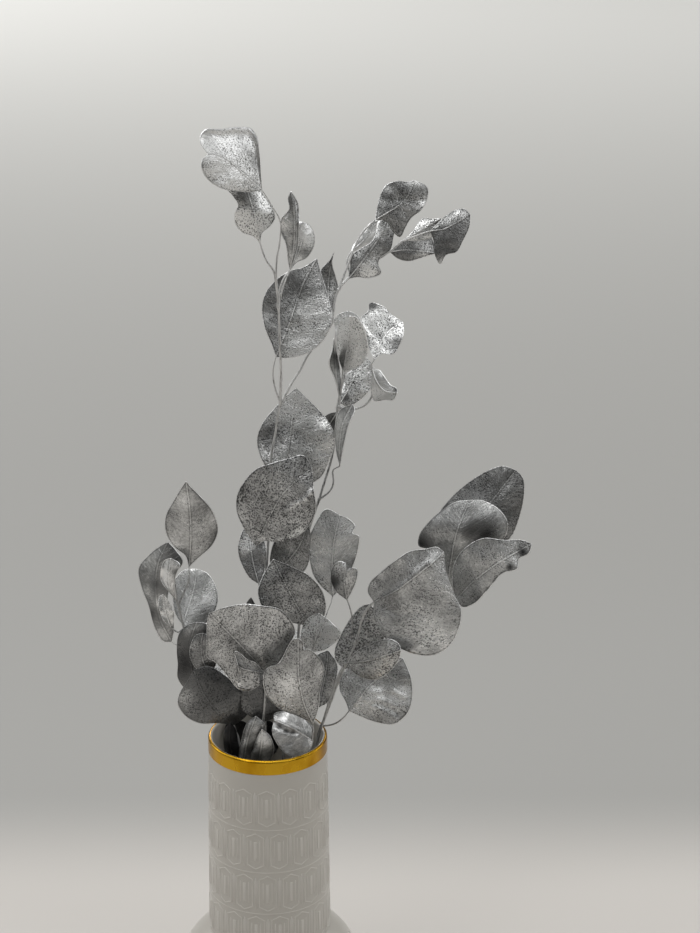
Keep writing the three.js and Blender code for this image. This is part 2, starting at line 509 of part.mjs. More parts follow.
// Front sprig: three-lobed leaf above the rim and a curled bright one lying in the mouth
const frontSprig = {
  foot: rise(14, -12, [22, -13, 140]),
  sway: () => 0,
  stem: [[310, 752, -16], [312, 740, -16], [313, 730, -17]],
  leaves: [
    { midrib: [[313, 724, -18], [304, 704, -28], [299, 678, -37], [298, 638, -40]],
      left: [[298, 716], [280, 709], [267, 696], [263, 681], [266, 669], [279, 663], [286, 650], [292, 640]],
      right: [[318, 710], [320, 692], [324, 667], [316, 654], [308, 649], [304, 650], [303, 642]],
      lean: [-1, 5], stalk: [[313, 732, -17]] },
    { midrib: [[313, 741, -16], [304, 735, -19], [290, 727, -22], [274, 720, -21]],
      left: [[313, 728], [305, 719], [294, 713], [282, 711], [274, 714]],
      right: [[309, 752], [299, 757], [286, 754], [276, 742], [272, 732]],
      lean: [10, -7], stalk: [[312, 748, -16]] },
  ],
};

// Arc of a turned outline, from one angle to another in degrees
function arc(centreX, centreZ, radiusX, radiusZ, from, to, steps) {
  return Array.from({ length: steps + 1 }, (_, i) => {
    const angle = THREE.MathUtils.degToRad(from + (to - from) * i / steps);
    return new THREE.Vector2(centreX + radiusX * Math.cos(angle), centreZ + radiusZ * Math.sin(angle));
  });
}

// Outline of the vase's wall at a given depth under the outer face, from the foot to the neck
function wallOutline(inset) {
  const bodyRadius = BODY_RADIUS - inset;
  const neckAngle = Math.acos((NECK_RADIUS_FOOT - inset) / bodyRadius);
  const shoulder = (NECK_FOOT_HEIGHT - BODY_MIDDLE) / Math.sin(neckAngle);
  const footHeight = inset ? FLOOR : 0;
  const lower = arc(BASE_RADIUS - inset, BODY_MIDDLE, BODY_RADIUS - BASE_RADIUS, BODY_MIDDLE - footHeight,
    -90, 0, 4);
  return [...lower.slice(0, -1),
    ...arc(0, BODY_MIDDLE, bodyRadius, shoulder, 0, THREE.MathUtils.radToDeg(neckAngle), 5)];
}

// Vase turned from one outline: flat foot, round body, straight neck, rounded lip
function vaseGeometry() {
  const lip = arc(NECK_RADIUS_TOP - WALL / 2, VASE_HEIGHT - WALL / 2, WALL / 2, WALL / 2, 0, 180, 4);
  const outline = [new THREE.Vector2(0, 0), ...wallOutline(0), ...lip, ...wallOutline(WALL).reverse(),
    new THREE.Vector2(0, FLOOR)];
  return new THREE.LatheGeometry(outline, VASE_SIDES).rotateX(Math.PI / 2);
}

const part = new THREE.Group();

function addNode(name, geometry, look) {
  const mesh = new THREE.Mesh(geometry, new THREE.MeshStandardMaterial(look));
  mesh.name = name;
  part.add(mesh);
}

addNode('vase', vaseGeometry(), PORCELAIN);
addNode('tall_branch', branch(tallBranch), SILVER);
addNode('middle_branch', branch(middleBranch), SILVER);
addNode('right_branch', branch(rightBranch), SILVER);
addNode('left_branch', branch(leftBranch), SILVER);
addNode('front_branch', branch(frontBranch), SILVER);
addNode('front_sprig', branch(frontSprig), SILVER);

export default part;
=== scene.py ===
# %% [markdown]
# # Silver dried eucalyptus in a porcelain vase
# This notebook dresses a plain CAD model, the frame, with what the eye sees: thin painted leaves with
# their ribs, pits and wavy edges, tapering stems, and a glazed vase with a gold rim. The frame stays
# where it is, because it holds the size, the place and the physics of every piece.

# %% Load the frame
import math
from dataclasses import dataclass

import bpy
import numpy as np
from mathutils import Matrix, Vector


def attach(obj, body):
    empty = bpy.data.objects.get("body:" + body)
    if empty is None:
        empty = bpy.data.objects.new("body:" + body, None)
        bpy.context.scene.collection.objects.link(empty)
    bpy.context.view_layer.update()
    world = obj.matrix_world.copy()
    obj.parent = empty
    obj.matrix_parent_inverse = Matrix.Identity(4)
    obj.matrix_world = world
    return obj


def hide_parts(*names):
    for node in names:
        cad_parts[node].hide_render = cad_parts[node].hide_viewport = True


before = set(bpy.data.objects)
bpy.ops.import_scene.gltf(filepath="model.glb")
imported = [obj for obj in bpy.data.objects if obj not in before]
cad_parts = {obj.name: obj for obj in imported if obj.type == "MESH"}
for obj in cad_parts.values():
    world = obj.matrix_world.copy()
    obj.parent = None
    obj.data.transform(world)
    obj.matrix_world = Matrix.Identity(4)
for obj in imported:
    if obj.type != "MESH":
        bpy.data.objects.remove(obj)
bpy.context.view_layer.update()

# %% [markdown]
# ## The camera
# The photograph was taken from a little above and from some two metres away, which shows the leaves
# from the front and a slim oval of the vase's mouth. A lens, a tilt and one known point fix such a
# view: the centre of the rim, 240 mm above the table, lies at one place of the picture. The same
# view also places the leaves later on, so its numbers come first and are written down once.

# %% Camera at the photograph's viewing angle
MM = 0.001
PHOTO_WIDTH, PHOTO_HEIGHT = 700, 933
FOCAL_IN_PIXELS = 2800
VIEW_PITCH = math.radians(22)
RIM_CENTRE_IN_PHOTO = (267.7, 734)
RIM_RADIUS_IN_PHOTO = 59.4
RIM_RADIUS = 42
VASE_HEIGHT = 240
SENSOR_LONG_SIDE = 36

view_ahead = np.array([0, math.cos(VIEW_PITCH), -math.sin(VIEW_PITCH)])
view_up = np.array([0, math.sin(VIEW_PITCH), math.cos(VIEW_PITCH)])
view_right = np.array([1.0, 0, 0])


def sight(across, down):
    """Direction of the ray through points of the photograph, one row for each point."""
    right = (np.asarray(across, float)[..., None] - PHOTO_WIDTH / 2) / FOCAL_IN_PIXELS
    up = (PHOTO_HEIGHT / 2 - np.asarray(down, float)[..., None]) / FOCAL_IN_PIXELS
    return view_ahead + right * view_right + up * view_up


rim_distance = FOCAL_IN_PIXELS * RIM_RADIUS / RIM_RADIUS_IN_PHOTO
eye = np.array([0, 0, VASE_HEIGHT]) - rim_distance * sight(*RIM_CENTRE_IN_PHOTO)


def dots(text):
    """Points written as "across,down across,down", as in a drawing's outline. Some have a depth
    or other numbers too."""
    return [tuple(float(number) for number in dot.split(",")) for dot in text.split()]


def seen(points):
    """Space points in mm for rows of (across, down, depth): depth is the point's Y."""
    points = np.asarray(points, float)
    ray = sight(points[..., 0], points[..., 1])
    return eye + ray * ((points[..., 2] - eye[1]) / ray[..., 1])[..., None]


bpy.ops.object.camera_add(location=Vector(eye * MM), rotation=(math.pi / 2 - VIEW_PITCH, 0, 0))
camera = bpy.context.object
camera.name = "camera"
camera.data.sensor_width = SENSOR_LONG_SIDE
camera.data.lens = SENSOR_LONG_SIDE * FOCAL_IN_PIXELS / PHOTO_HEIGHT
bpy.context.scene.camera = camera
bpy.context.scene.view_settings.view_transform = "Standard"
print("camera at", [round(float(v)) for v in eye], "mm")

# %% [markdown]
# ## Small helpers
# Every operator acts on what is selected, so each step first clears the selection and then picks its
# own object. A finished piece keeps its object at the origin with its place in the mesh, as the
# frame's own nodes do.

# %% Helpers for picking, editing and finishing
def pick(*objects):
    """Selects these objects alone. The first one is active."""
    if bpy.context.object and bpy.context.object.mode != "OBJECT":
        bpy.ops.object.mode_set(mode="OBJECT")
    bpy.ops.object.select_all(action="DESELECT")
    for one in objects:
        one.select_set(True)
    bpy.context.view_layer.objects.active = objects[0]


def edit_all(one):
    """Goes into edit mode on one object with everything selected."""
    pick(one)
    bpy.ops.object.mode_set(mode="EDIT")
    bpy.ops.mesh.select_all(action="SELECT")


def apply_modifier(one, kind, **settings):
    """Adds a modifier, sets it and applies it."""
    pick(one)
    bpy.ops.object.modifier_add(type=kind)
    modifier = one.modifiers[-1]
    for name, value in settings.items():
        setattr(modifier, name, value)
    bpy.ops.object.modifier_apply(modifier=modifier.name)


def join(name, objects):
    """Makes one object of several and puts its origin at the frame's origin."""
    pick(*objects)
    bpy.ops.object.join()
    whole = bpy.context.object
    whole.name = whole.data.name = name
    bpy.ops.object.transform_apply(location=True, rotation=True, scale=True)
    return whole


def triangles(one):
    """How many triangles an object's faces make."""
    return sum(len(face.vertices) - 2 for face in one.data.polygons)


# %% [markdown]
# ## Finishes
# The leaves carry a thin coat of silver paint that dried with small pits, so their material is a
# metal with dark specks and a mottled tone. A painted highlight runs along the rib and the edge,
# with painted shade beside each. Leaf and stem share that paint, so its mottling is one node group
# with its own inputs. The specks need cells of about 1.1 mm, which a Voronoi texture gives.

# %% Node helpers
def add_node(tree, kind, settings=None, **sockets):
    """Adds a node. Its sockets are set by name to a value or linked to another node's output."""
    made = tree.nodes.new("ShaderNode" + kind)
    for name, value in (settings or {}).items():
        setattr(made, name, value)
    for name, value in sockets.items():
        numbered = name[0] == "i" and name[1:].isdigit()
        socket = made.inputs[int(name[1:]) if numbered else name.replace("_", " ")]
        if isinstance(value, bpy.types.NodeSocket):
            tree.links.new(value, socket)
        else:
            socket.default_value = value
    return made


def calc(tree, operation, *values):
    """Output of a Math node."""
    sockets = {f"i{k}": value for k, value in enumerate(values)}
    return add_node(tree, "Math", {"operation": operation}, **sockets).outputs[0]


def weigh(tree, value, *masks):
    """A value with masks added to it, each as (mask, share)."""
    for mask, share in masks:
        value = calc(tree, "MULTIPLY_ADD", mask, share, value)
    return value


def ramp(tree, value, start, end, low=0.0, high=1.0):
    """Smooth step of a value from start to end, as low to high."""
    return add_node(tree, "MapRange", {"interpolation_type": "SMOOTHSTEP"}, Value=value,
                    From_Min=start, From_Max=end, To_Min=low, To_Max=high).outputs["Result"]


def noise(tree, place, scale, detail, **more):
    """A cloudy value around 0.5."""
    return add_node(tree, "TexNoise", Vector=place, Scale=scale, Detail=detail, **more).outputs["Fac"]


def stretched(tree, place, scale):
    """A place with its X, Y and Z multiplied by a scale."""
    return add_node(tree, "Mapping", Vector=place, Scale=scale).outputs["Vector"]


def place_in(tree, space="Object"):
    """The point that is being shaded."""
    return add_node(tree, "TexCoord").outputs[space]


def part(tree, place, axis):
    """The X, Y or Z of a place."""
    return add_node(tree, "SeparateXYZ", Vector=place).outputs[axis]


def blend(tree, share, first, second):
    """Colour that goes from a first one to a second one."""
    return add_node(tree, "MixRGB", Fac=share, Color1=first, Color2=second).outputs[0]


def shades(tree, light, dark, bright, middle=None):
    """Colour for a lightness, from dark at 0 to bright at 1, with a middle one halfway."""
    node = add_node(tree, "ValToRGB", Fac=light)
    stops = node.color_ramp.elements
    stops[0].color, stops[1].color = dark, bright
    if middle:
        stops.new(0.5).color = middle
    return node.outputs["Color"]


def new_material(name):
    """A material with its node tree and its surface shader."""
    material = bpy.data.materials.new(name)
    material.use_nodes = True
    tree = material.node_tree
    tree.nodes.clear()
    surface = add_node(tree, "BsdfPrincipled")
    output = add_node(tree, "OutputMaterial")
    tree.links.new(surface.outputs["BSDF"], output.inputs["Surface"])
    return material, tree, surface


def dress_surface(tree, surface, colour, roughness, height, strength, depth, metallic=0.0):
    """Gives a surface its colour, its roughness and a bump, whose depth is in mm."""
    bump = add_node(tree, "Bump", Height=height, Strength=strength, Distance=depth * MM)
    for name, output in (("Base Color", colour), ("Roughness", roughness),
                         ("Normal", bump.outputs["Normal"])):
        tree.links.new(output, surface.inputs[name])
    surface.inputs["Metallic"].default_value = metallic


# %% Silver paint shared by leaf and stem
PIT_LEAST, PIT_SPREAD = 0.16, 0.62
PIT_PATCHINESS = 0.9
PIT_EDGE = (-0.07, 0.09)

paint = bpy.data.node_groups.new("silver_paint", "ShaderNodeTree")
for name, kind in (("Place", "Vector"), ("Speck Size", "Float"), ("Specks", "Float")):
    paint.interface.new_socket(name, in_out="INPUT", socket_type="NodeSocket" + kind)
for name in ("Tone", "Pit", "Height"):
    paint.interface.new_socket(name, in_out="OUTPUT", socket_type="NodeSocketFloat")
given = paint.nodes.new("NodeGroupInput")
place = given.outputs["Place"]
cloud = noise(paint, place, 0.05, 3.0)
ripple = noise(paint, stretched(paint, place, (0.7, 0.5, 1.0)), 0.7, 3.0, Roughness=0.7, Distortion=0.3)
cell = add_node(paint, "TexVoronoi", {"voronoi_dimensions": "2D"}, Vector=place, Randomness=1.0,
                Scale=calc(paint, "DIVIDE", 1.0, given.outputs["Speck Size"]))
chance = add_node(paint, "SeparateColor", Color=cell.outputs["Color"]).outputs["Red"]
patchy = calc(paint, "SUBTRACT", noise(paint, place, 0.09, 2.0), 0.5)
crowd = weigh(paint, given.outputs["Specks"], (patchy, PIT_PATCHINESS))
size = calc(paint, "MULTIPLY", crowd, weigh(paint, PIT_LEAST, (chance, PIT_SPREAD)))
pit = ramp(paint, calc(paint, "SUBTRACT", size, cell.outputs["Distance"]), *PIT_EDGE)
result = paint.nodes.new("NodeGroupOutput")
for name, value in (("Tone", weigh(paint, 0.0, (ripple, 0.5), (cloud, 0.5))), ("Pit", pit),
                    ("Height", weigh(paint, 0.0, (ripple, 0.9), (pit, -0.5)))):
    paint.links.new(value, result.inputs[name])


def use_paint(tree, place, specks, speck_size):
    """The paint's tone, pits and height at a place. specks is a value or another node's output."""
    made = add_node(tree, "Group", {"node_tree": paint}, Place=place, Specks=specks,
                    Speck_Size=speck_size)
    return (made.outputs[name] for name in ("Tone", "Pit", "Height"))


# %% Leaf material
SILVER_DARK, SILVER_MIDDLE = (0.008, 0.008, 0.009, 1), (0.22, 0.222, 0.22, 1)
SILVER_LIGHT = (0.86, 0.865, 0.86, 1)
LEAF_GAIN = 1.6
LEAF_SPECK_SIZE = 1.15
BATCH_STEP = 97.0
VEIN_SLANT, VEIN_SPACING, VEIN_WANDER = 0.55, 5.5, 5.0


def measure(tree, name):
    """A number that the leaf's mesh carries at each vertex."""
    return add_node(tree, "Attribute", {"attribute_name": name}).outputs["Fac"]


silver_leaf, tree, surface = new_material("silver_leaf")
from_rib = measure(tree, "from_rib")
rib_side = calc(tree, "ABSOLUTE", from_rib)
along = weigh(tree, measure(tree, "from_base"), (measure(tree, "batch"), BATCH_STEP))
slant = weigh(tree, along, (rib_side, -VEIN_SLANT))
leaf_place = add_node(tree, "CombineXYZ", X=from_rib, Y=along, Z=slant).outputs["Vector"]
specks = measure(tree, "specks")
tone, pit, height = use_paint(tree, leaf_place, specks, LEAF_SPECK_SIZE)
wandering = weigh(tree, slant, (noise(tree, leaf_place, 0.12, 1.0), VEIN_WANDER))
turn = calc(tree, "PINGPONG", calc(tree, "DIVIDE", wandering, VEIN_SPACING), 0.5)
side_vein = ramp(tree, turn, 0.0, 0.07, 1.0, 0.0)
# Painted highlight on the rib, and painted shade in a band beside it.
rib = ramp(tree, rib_side, 0.2, 0.7, 1.0, 0.0)
rib_shade_band = calc(tree, "SUBTRACT", ramp(tree, rib_side, 0.7, 1.6, 1.0, 0.0), rib)
# Painted highlight in a thin line along the leaf's edge, and painted shade in a line just inside it.
to_edge = measure(tree, "to_edge")
rim = ramp(tree, to_edge, 0.1, 0.6, 1.0, 0.0)
edge_shade_line = calc(tree, "SUBTRACT", ramp(tree, to_edge, 0.6, 1.6, 1.0, 0.0), rim)
light = weigh(tree, tone, (pit, -0.30), (rim, 0.28), (edge_shade_line, -0.14), (rib, 0.09),
              (rib_shade_band, -0.10), (side_vein, 0.035))
# The tone attribute holds the leaf's paint lightness together with its painted light and shade.
light = calc(tree, "MULTIPLY", light, calc(tree, "MULTIPLY", measure(tree, "tone"), LEAF_GAIN))
rough = calc(tree, "ADD", specks, 0.25)
dress_surface(tree, surface, shades(tree, light, SILVER_DARK, SILVER_LIGHT, SILVER_MIDDLE),
              ramp(tree, tone, 0.3, 0.7, 0.36, 0.25),
              weigh(tree, calc(tree, "MULTIPLY", height, rough), (side_vein, 0.1), (rib, 0.4)),
              strength=1.0, depth=0.6, metallic=0.9)

# %% Stem material
STEM_DARK, STEM_LIGHT = (0.06, 0.06, 0.058, 1), (0.86, 0.86, 0.85, 1)
PALE_FROM, PALE_TO = 0.42, 0.50

silver_stem, tree, surface = new_material("silver_stem")
place = place_in(tree)
tone, pit, height = use_paint(tree, stretched(tree, place, (1 / MM, 1 / MM, 0.6 / MM)), 0.35, 1.1)
# Painted highlight: the stems are painted paler from 0.42 m up, for the light that falls on the upper stems.
upper_painted_light = ramp(tree, part(tree, place, "Z"), PALE_FROM, PALE_TO)
light = weigh(tree, tone, (pit, -0.4), (upper_painted_light, 0.25))
dress_surface(tree, surface, shades(tree, light, STEM_DARK, STEM_LIGHT),
              ramp(tree, tone, 0.2, 1.0, 0.38, 0.55), height, strength=0.8, depth=0.5, metallic=0.6)

# %% Porcelain and gold
BARE_CLAY = (0.72, 0.68, 0.60, 1)
GOLD_DEEP, GOLD_BRIGHT = (0.43, 0.21, 0.005, 1), (0.66, 0.38, 0.024, 1)


def glazed(name, dark, light):
    """Glazed porcelain, with bare clay where the foot ring stands."""
    material, tree, surface = new_material(name)
    place = place_in(tree)
    cloud = noise(tree, place, 22.0, 3.0)
    bare = ramp(tree, part(tree, place, "Z"), 0.2 * MM, 0.6 * MM, 1.0, 0.0)
    dress_surface(tree, surface, blend(tree, bare, blend(tree, cloud, dark, light), BARE_CLAY),
                  weigh(tree, 0.22, (cloud, 0.15), (bare, 0.45)), noise(tree, place, 55.0, 2.0),
                  strength=0.12, depth=1)
    surface.inputs["Coat Weight"].default_value = 0.15
    surface.inputs["Coat Roughness"].default_value = 0.2
    return material


porcelain = glazed("porcelain", (0.515, 0.492, 0.447, 1), (0.57, 0.546, 0.50, 1))
# The glaze runs thin on the ridges of the relief, and the pale clay shows through it.
ridge_glaze = glazed("ridge_glaze", (0.60, 0.575, 0.53, 1), (0.655, 0.63, 0.585, 1))

gold, tree, surface = new_material("gold")
brushed = noise(tree, stretched(tree, place_in(tree), (1, 1, 0.7)), 45.0, 3.0, Roughness=0.5,
                Distortion=0.2)
dress_surface(tree, surface, blend(tree, ramp(tree, brushed, 0.35, 0.62), GOLD_DEEP, GOLD_BRIGHT),
              ramp(tree, brushed, 0.3, 0.7, 0.16, 0.32), brushed, strength=0.1, depth=0.3, metallic=1.0)
print("materials:", [m.name for m in bpy.data.materials])

# %% [markdown]
# ## The vase
# A thrown or cast vase is round, so its wall is one outline turned about the upright axis. The
# outline is drawn point by point by extruding one vertex, from the middle of the underside over the
# foot, body, shoulder and neck, over the lip and down inside, and then spun.

# %% Vase outline
NECK_RADIUS_FOOT, NECK_FOOT_HEIGHT = 43.8, 87
BODY_RADIUS, BODY_MIDDLE, BASE_RADIUS = 66, 50, 46
WALL, FLOOR = 3.2, 6
FOOT_RING, FOOT_HOLLOW = 3.5, 1.2
TURN_STEPS, BODY_STEPS, LIP_STEPS = 128, 20, 12


def arc(centre_x, centre_z, radius_x, radius_z, start, end, steps):
    """Points (x, z) of part of an oval, from one angle to another in degrees."""
    angles = np.radians(np.linspace(start, end, steps + 1))
    return [(centre_x + radius_x * math.cos(a), centre_z + radius_z * math.sin(a)) for a in angles]


def lip_arc(grow, start, end, steps):
    """Part of the round lip, a little outside or inside its face."""
    radius = WALL / 2 + grow
    return arc(RIM_RADIUS - WALL / 2, VASE_HEIGHT - WALL / 2, radius, radius, start, end, steps)


def wall_outline(inset):
    """Outline from the foot to the start of the neck, at a depth under the outer face."""
    body = BODY_RADIUS - inset
    neck_angle = math.degrees(math.acos((NECK_RADIUS_FOOT - inset) / body))
    shoulder = (NECK_FOOT_HEIGHT - BODY_MIDDLE) / math.sin(math.radians(neck_angle))
    foot_height = FLOOR if inset else 0
    lower = arc(BASE_RADIUS - inset, BODY_MIDDLE, BODY_RADIUS - BASE_RADIUS,
                BODY_MIDDLE - foot_height, -90, 0, BODY_STEPS)
    return lower[:-1] + arc(0, BODY_MIDDLE, body, shoulder, 0, neck_angle, BODY_STEPS)


def turned(name, outline, material):
    """Draws an outline with one vertex and spins it round the upright axis."""
    bpy.ops.object.select_all(action="DESELECT")
    bpy.ops.mesh.primitive_plane_add(size=2 * MM, location=(0, 0, 0))
    shape = bpy.context.object
    shape.name = shape.data.name = name
    edit_all(shape)
    bpy.ops.mesh.merge(type="CENTER")
    bpy.ops.transform.translate(value=(outline[0][0] * MM, 0, outline[0][1] * MM))
    for (x, z), (next_x, next_z) in zip(outline, outline[1:]):
        bpy.ops.mesh.extrude_vertices_move(
            TRANSFORM_OT_translate={"value": ((next_x - x) * MM, 0, (next_z - z) * MM)})
    bpy.ops.mesh.select_all(action="SELECT")
    bpy.ops.mesh.spin(steps=TURN_STEPS, angle=2 * math.pi, center=(0, 0, 0), axis=(0, 0, 1))
    bpy.ops.mesh.select_all(action="SELECT")
    bpy.ops.mesh.remove_doubles(threshold=0.002 * MM)
    bpy.ops.mesh.normals_make_consistent(inside=False)
    bpy.ops.object.mode_set(mode="OBJECT")
    bpy.ops.object.shade_smooth_by_angle(angle=math.radians(40))
    shape.data.materials.append(material)
    return shape


underside = [(0, FOOT_HOLLOW), (BASE_RADIUS - FOOT_RING - 1, FOOT_HOLLOW), (BASE_RADIUS - FOOT_RING, 0)]
vase = turned("porcelain_vase", underside + wall_outline(0) + lip_arc(0, 0, 180, LIP_STEPS)
              + wall_outline(WALL)[::-1] + [(0, FLOOR)], porcelain)
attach(vase, "root")
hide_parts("vase")
print("vase:", triangles(vase), "triangles")

# %% Gold rim
GOLD_FOOT = 229.6
GOLD_THICKNESS = 0.12
GOLD_STEPS = 8


def neck_radius(z):
    """Radius of the neck's outer face at a height."""
    return RIM_RADIUS + (VASE_HEIGHT - z) / (VASE_HEIGHT - NECK_FOOT_HEIGHT) * (
        NECK_RADIUS_FOOT - RIM_RADIUS)


def lip_line(grow):
    """Line over the lip that lies a little outside or inside the vase's own face."""
    return [(neck_radius(GOLD_FOOT) + grow, GOLD_FOOT), (RIM_RADIUS + grow, VASE_HEIGHT - WALL / 2),
            *lip_arc(grow, 10, 95, GOLD_STEPS)]


rim_outline = lip_line(GOLD_THICKNESS) + lip_line(-GOLD_THICKNESS)[::-1]
gold_rim = turned("gold_rim", rim_outline + rim_outline[:1], gold)
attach(gold_rim, "root")
print("gold rim:", triangles(gold_rim), "triangles")

# %% [markdown]
# ## Relief on the neck
# The neck carries rows of small raised figures under the glaze. Here they are a plain pattern: long
# six-sided cells with a bar and two slim ones in each, slim bars between the cells, and a thin ring
# between the rows. Every second row is shifted by half a cell. One figure is modelled flat from a
# circle of six corners and some bars, and its copies are wrapped round the neck.

# %% One relief figure
CELLS_ROUND = 16
ROW_HEIGHTS, RING_HEIGHTS = (203, 169, 135.5, 102.8), (186, 152.2, 119.1)
CELL_HALF_WIDTH, CELL_HALF_HEIGHT = 6.2, 14.5
CELL_SIDE_STRETCH = 1.55
RIDGE_WIDTH, RIDGE_HEIGHT = 0.9, 0.5
SLIM_HEIGHT = RIDGE_HEIGHT * 0.55
RING_HALF_HEIGHT, RING_STEPS = 0.45, 10


def add_bar(across, width, height, length, bevel, segments):
    """An upright bar with soft edges beside the figure's middle, all in mm."""
    bpy.ops.object.select_all(action="DESELECT")
    bpy.ops.mesh.primitive_cube_add(size=1 * MM, location=(across * MM, 0, 0))
    bar = bpy.context.object
    bar.scale = (width, height, length)
    bpy.ops.object.transform_apply(location=True, scale=True)
    apply_modifier(bar, "BEVEL", width=bevel * MM, segments=segments)
    return bar


bpy.ops.object.select_all(action="DESELECT")
bpy.ops.mesh.primitive_circle_add(vertices=6, radius=CELL_HALF_HEIGHT * MM, fill_type="NGON",
                                  rotation=(math.pi / 2, 0, 0))
cell = bpy.context.object
bpy.ops.object.transform_apply(rotation=True)
for vertex in cell.data.vertices:
    vertex.co.x *= CELL_HALF_WIDTH / (CELL_HALF_HEIGHT * math.sin(math.pi / 3))
    if abs(vertex.co.x) > 0.1 * MM:
        vertex.co.z *= CELL_SIDE_STRETCH
edit_all(cell)
bpy.ops.mesh.inset(thickness=RIDGE_WIDTH * MM)
bpy.ops.mesh.delete(type="FACE")
bpy.ops.mesh.select_all(action="SELECT")
bpy.ops.mesh.subdivide(number_cuts=2)
bpy.ops.object.mode_set(mode="OBJECT")
apply_modifier(cell, "SOLIDIFY", thickness=RIDGE_HEIGHT * MM, offset=0)
apply_modifier(cell, "BEVEL", width=0.3 * MM, segments=2)
bars = [add_bar(0, 2.2, RIDGE_HEIGHT, 15, 0.35, 2)]
for across, width, length in ((-3.1, 0.6, 17), (3.1, 0.6, 17), (8.25, 0.7, 25), (7.3, 0.4, 21),
                              (9.2, 0.4, 21)):
    bars.append(add_bar(across, width, SLIM_HEIGHT, length, 0.15, 1))
figure = join("relief_figure", [cell, *bars])
print("relief figure:", triangles(figure), "triangles")

# %% Copies wrapped round the neck
flat = np.empty(len(figure.data.vertices) * 3)
figure.data.vertices.foreach_get("co", flat)
flat = flat.reshape(-1, 3) / MM
copies = []
for row, middle in enumerate(ROW_HEIGHTS):
    for number in range(CELLS_ROUND):
        one = figure.copy()
        one.data = figure.data.copy()
        bpy.context.collection.objects.link(one)
        z = flat[:, 2] + middle
        radius = neck_radius(z) - flat[:, 1]
        angle = flat[:, 0] / RIM_RADIUS + 2 * math.pi * (number + 0.5 * (row % 2)) / CELLS_ROUND
        round_neck = np.stack([radius * np.sin(angle), -radius * np.cos(angle), z], 1) * MM
        one.data.vertices.foreach_set("co", round_neck.ravel())
        copies.append(one)
pick(figure)
bpy.ops.object.delete()
rings = []
for number, z in enumerate(RING_HEIGHTS):
    bead = arc(neck_radius(z), z, RIDGE_HEIGHT * 0.45, RING_HALF_HEIGHT, -180, 180, RING_STEPS)
    rings.append(turned(f"ring_{number}", bead, ridge_glaze))
neck_relief = join("neck_relief", [*rings, *copies])
edit_all(neck_relief)
bpy.ops.mesh.normals_make_consistent(inside=False)
bpy.ops.object.mode_set(mode="OBJECT")
bpy.ops.object.shade_smooth_by_angle(angle=math.radians(60))
neck_relief.data.materials.clear()
neck_relief.data.materials.append(ridge_glaze)
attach(neck_relief, "root")
print("neck relief:", triangles(neck_relief), "triangles")

# %% [markdown]
# ## How a leaf is made
# Each leaf is known by three lines of the photograph: its rib and its left and right edges, with the
# depth of the rib. A grid of small squares is laid between them, so that its outline is the leaf's
# own. Then it gets what makes it a dried leaf: a wavy margin, small dents, edges that roll up, and
# creases. These move its points only towards or away from the viewer, so the outline stays.

# %% Smooth lines
CURVE_SAMPLES = 200


def curve_at(points, where):
    """Points of a smooth line through given points, at shares of its length from 0 to 1."""
    points = np.asarray(points, float)
    ends = np.vstack([2 * points[0] - points[1], points, 2 * points[-1] - points[-2]])
    knots = np.maximum(np.linalg.norm(np.diff(ends, axis=0), axis=1) ** 0.5, 1e-4)

    def at(t):
        span = np.clip(t.astype(int), 0, len(points) - 2)
        w = (t - span)[:, None]
        p0, p1, p2, p3 = (ends[span + k] for k in range(4))
        d0, d1, d2 = (knots[span + k][:, None] for k in range(3))
        t1 = ((p1 - p0) / d0 - (p2 - p0) / (d0 + d1) + (p2 - p1) / d1) * d1
        t2 = ((p2 - p1) / d1 - (p3 - p1) / (d1 + d2) + (p3 - p2) / d2) * d1
        return (p1 + t1 * w + (-3 * p1 + 3 * p2 - 2 * t1 - t2) * w ** 2
                + (2 * p1 - 2 * p2 + t1 + t2) * w ** 3)

    steps = np.linspace(0, len(points) - 1, CURVE_SAMPLES + 1)
    length = np.concatenate([[0], np.cumsum(np.linalg.norm(np.diff(at(steps), axis=0), axis=1))])
    return at(np.interp(np.asarray(where, float) * length[-1], length, steps))


def smooth_step(value, start, end):
    """0 before the start and 1 after the end, with a soft change between them."""
    share = np.clip((value - start) / (end - start), 0, 1)
    return share * share * (3 - 2 * share)


def line_distance(x, y, line):
    """Distance of points from a line of straight lengths, all in pixels of the photograph."""
    best = np.full(x.shape, np.inf)
    for (ax, ay), (bx, by) in zip(line, line[1:]):
        share = np.clip(((x - ax) * (bx - ax) + (y - ay) * (by - ay))
                        / ((bx - ax) ** 2 + (by - ay) ** 2), 0, 1)
        best = np.minimum(best, np.hypot(x - ax - share * (bx - ax), y - ay - share * (by - ay)))
    return best


# %% [markdown]
# No two leaves of a dried branch look the same: the paint is lighter on one than the next, one lies
# flat and catches the light, and the next is folded and lies in shade, which is painted into its tone.
# So each leaf comes with its lines, how light and how pitted it is, and its spots of painted highlight and
# painted shade.

# %% What is known of a leaf
@dataclass
class Leaf:
    name: str
    midrib: str  # across,down,depth from the base to the tip
    left: str  # across,down along the left edge between base and tip
    right: str
    lean: tuple  # how far the left and the right edge lie behind the rib, in mm
    stalk: str  # across,down,depth from the stem to the base
    small: bool = False  # a small leaf has a coarser grid
    tone: float = 1.0  # how light the paint is, with painted shade for a leaf in shadow and painted light for a bright one
    rib: float = 1.0  # how thick the raised rib is
    specks: float = 0.5  # how pitted the paint is
    wave: float = 1.0  # how wavy the margin is
    dents: float = 1.0
    curl: tuple = (0, 0, 0)  # how far the left edge, right edge and tip roll forward, in mm
    creases: tuple = ()  # (line, width in pixels, height in mm)
    painted_light_spots: str = ""  # across,down,radius in pixels,gain: a spot of painted highlight above 0, of painted shade below 0
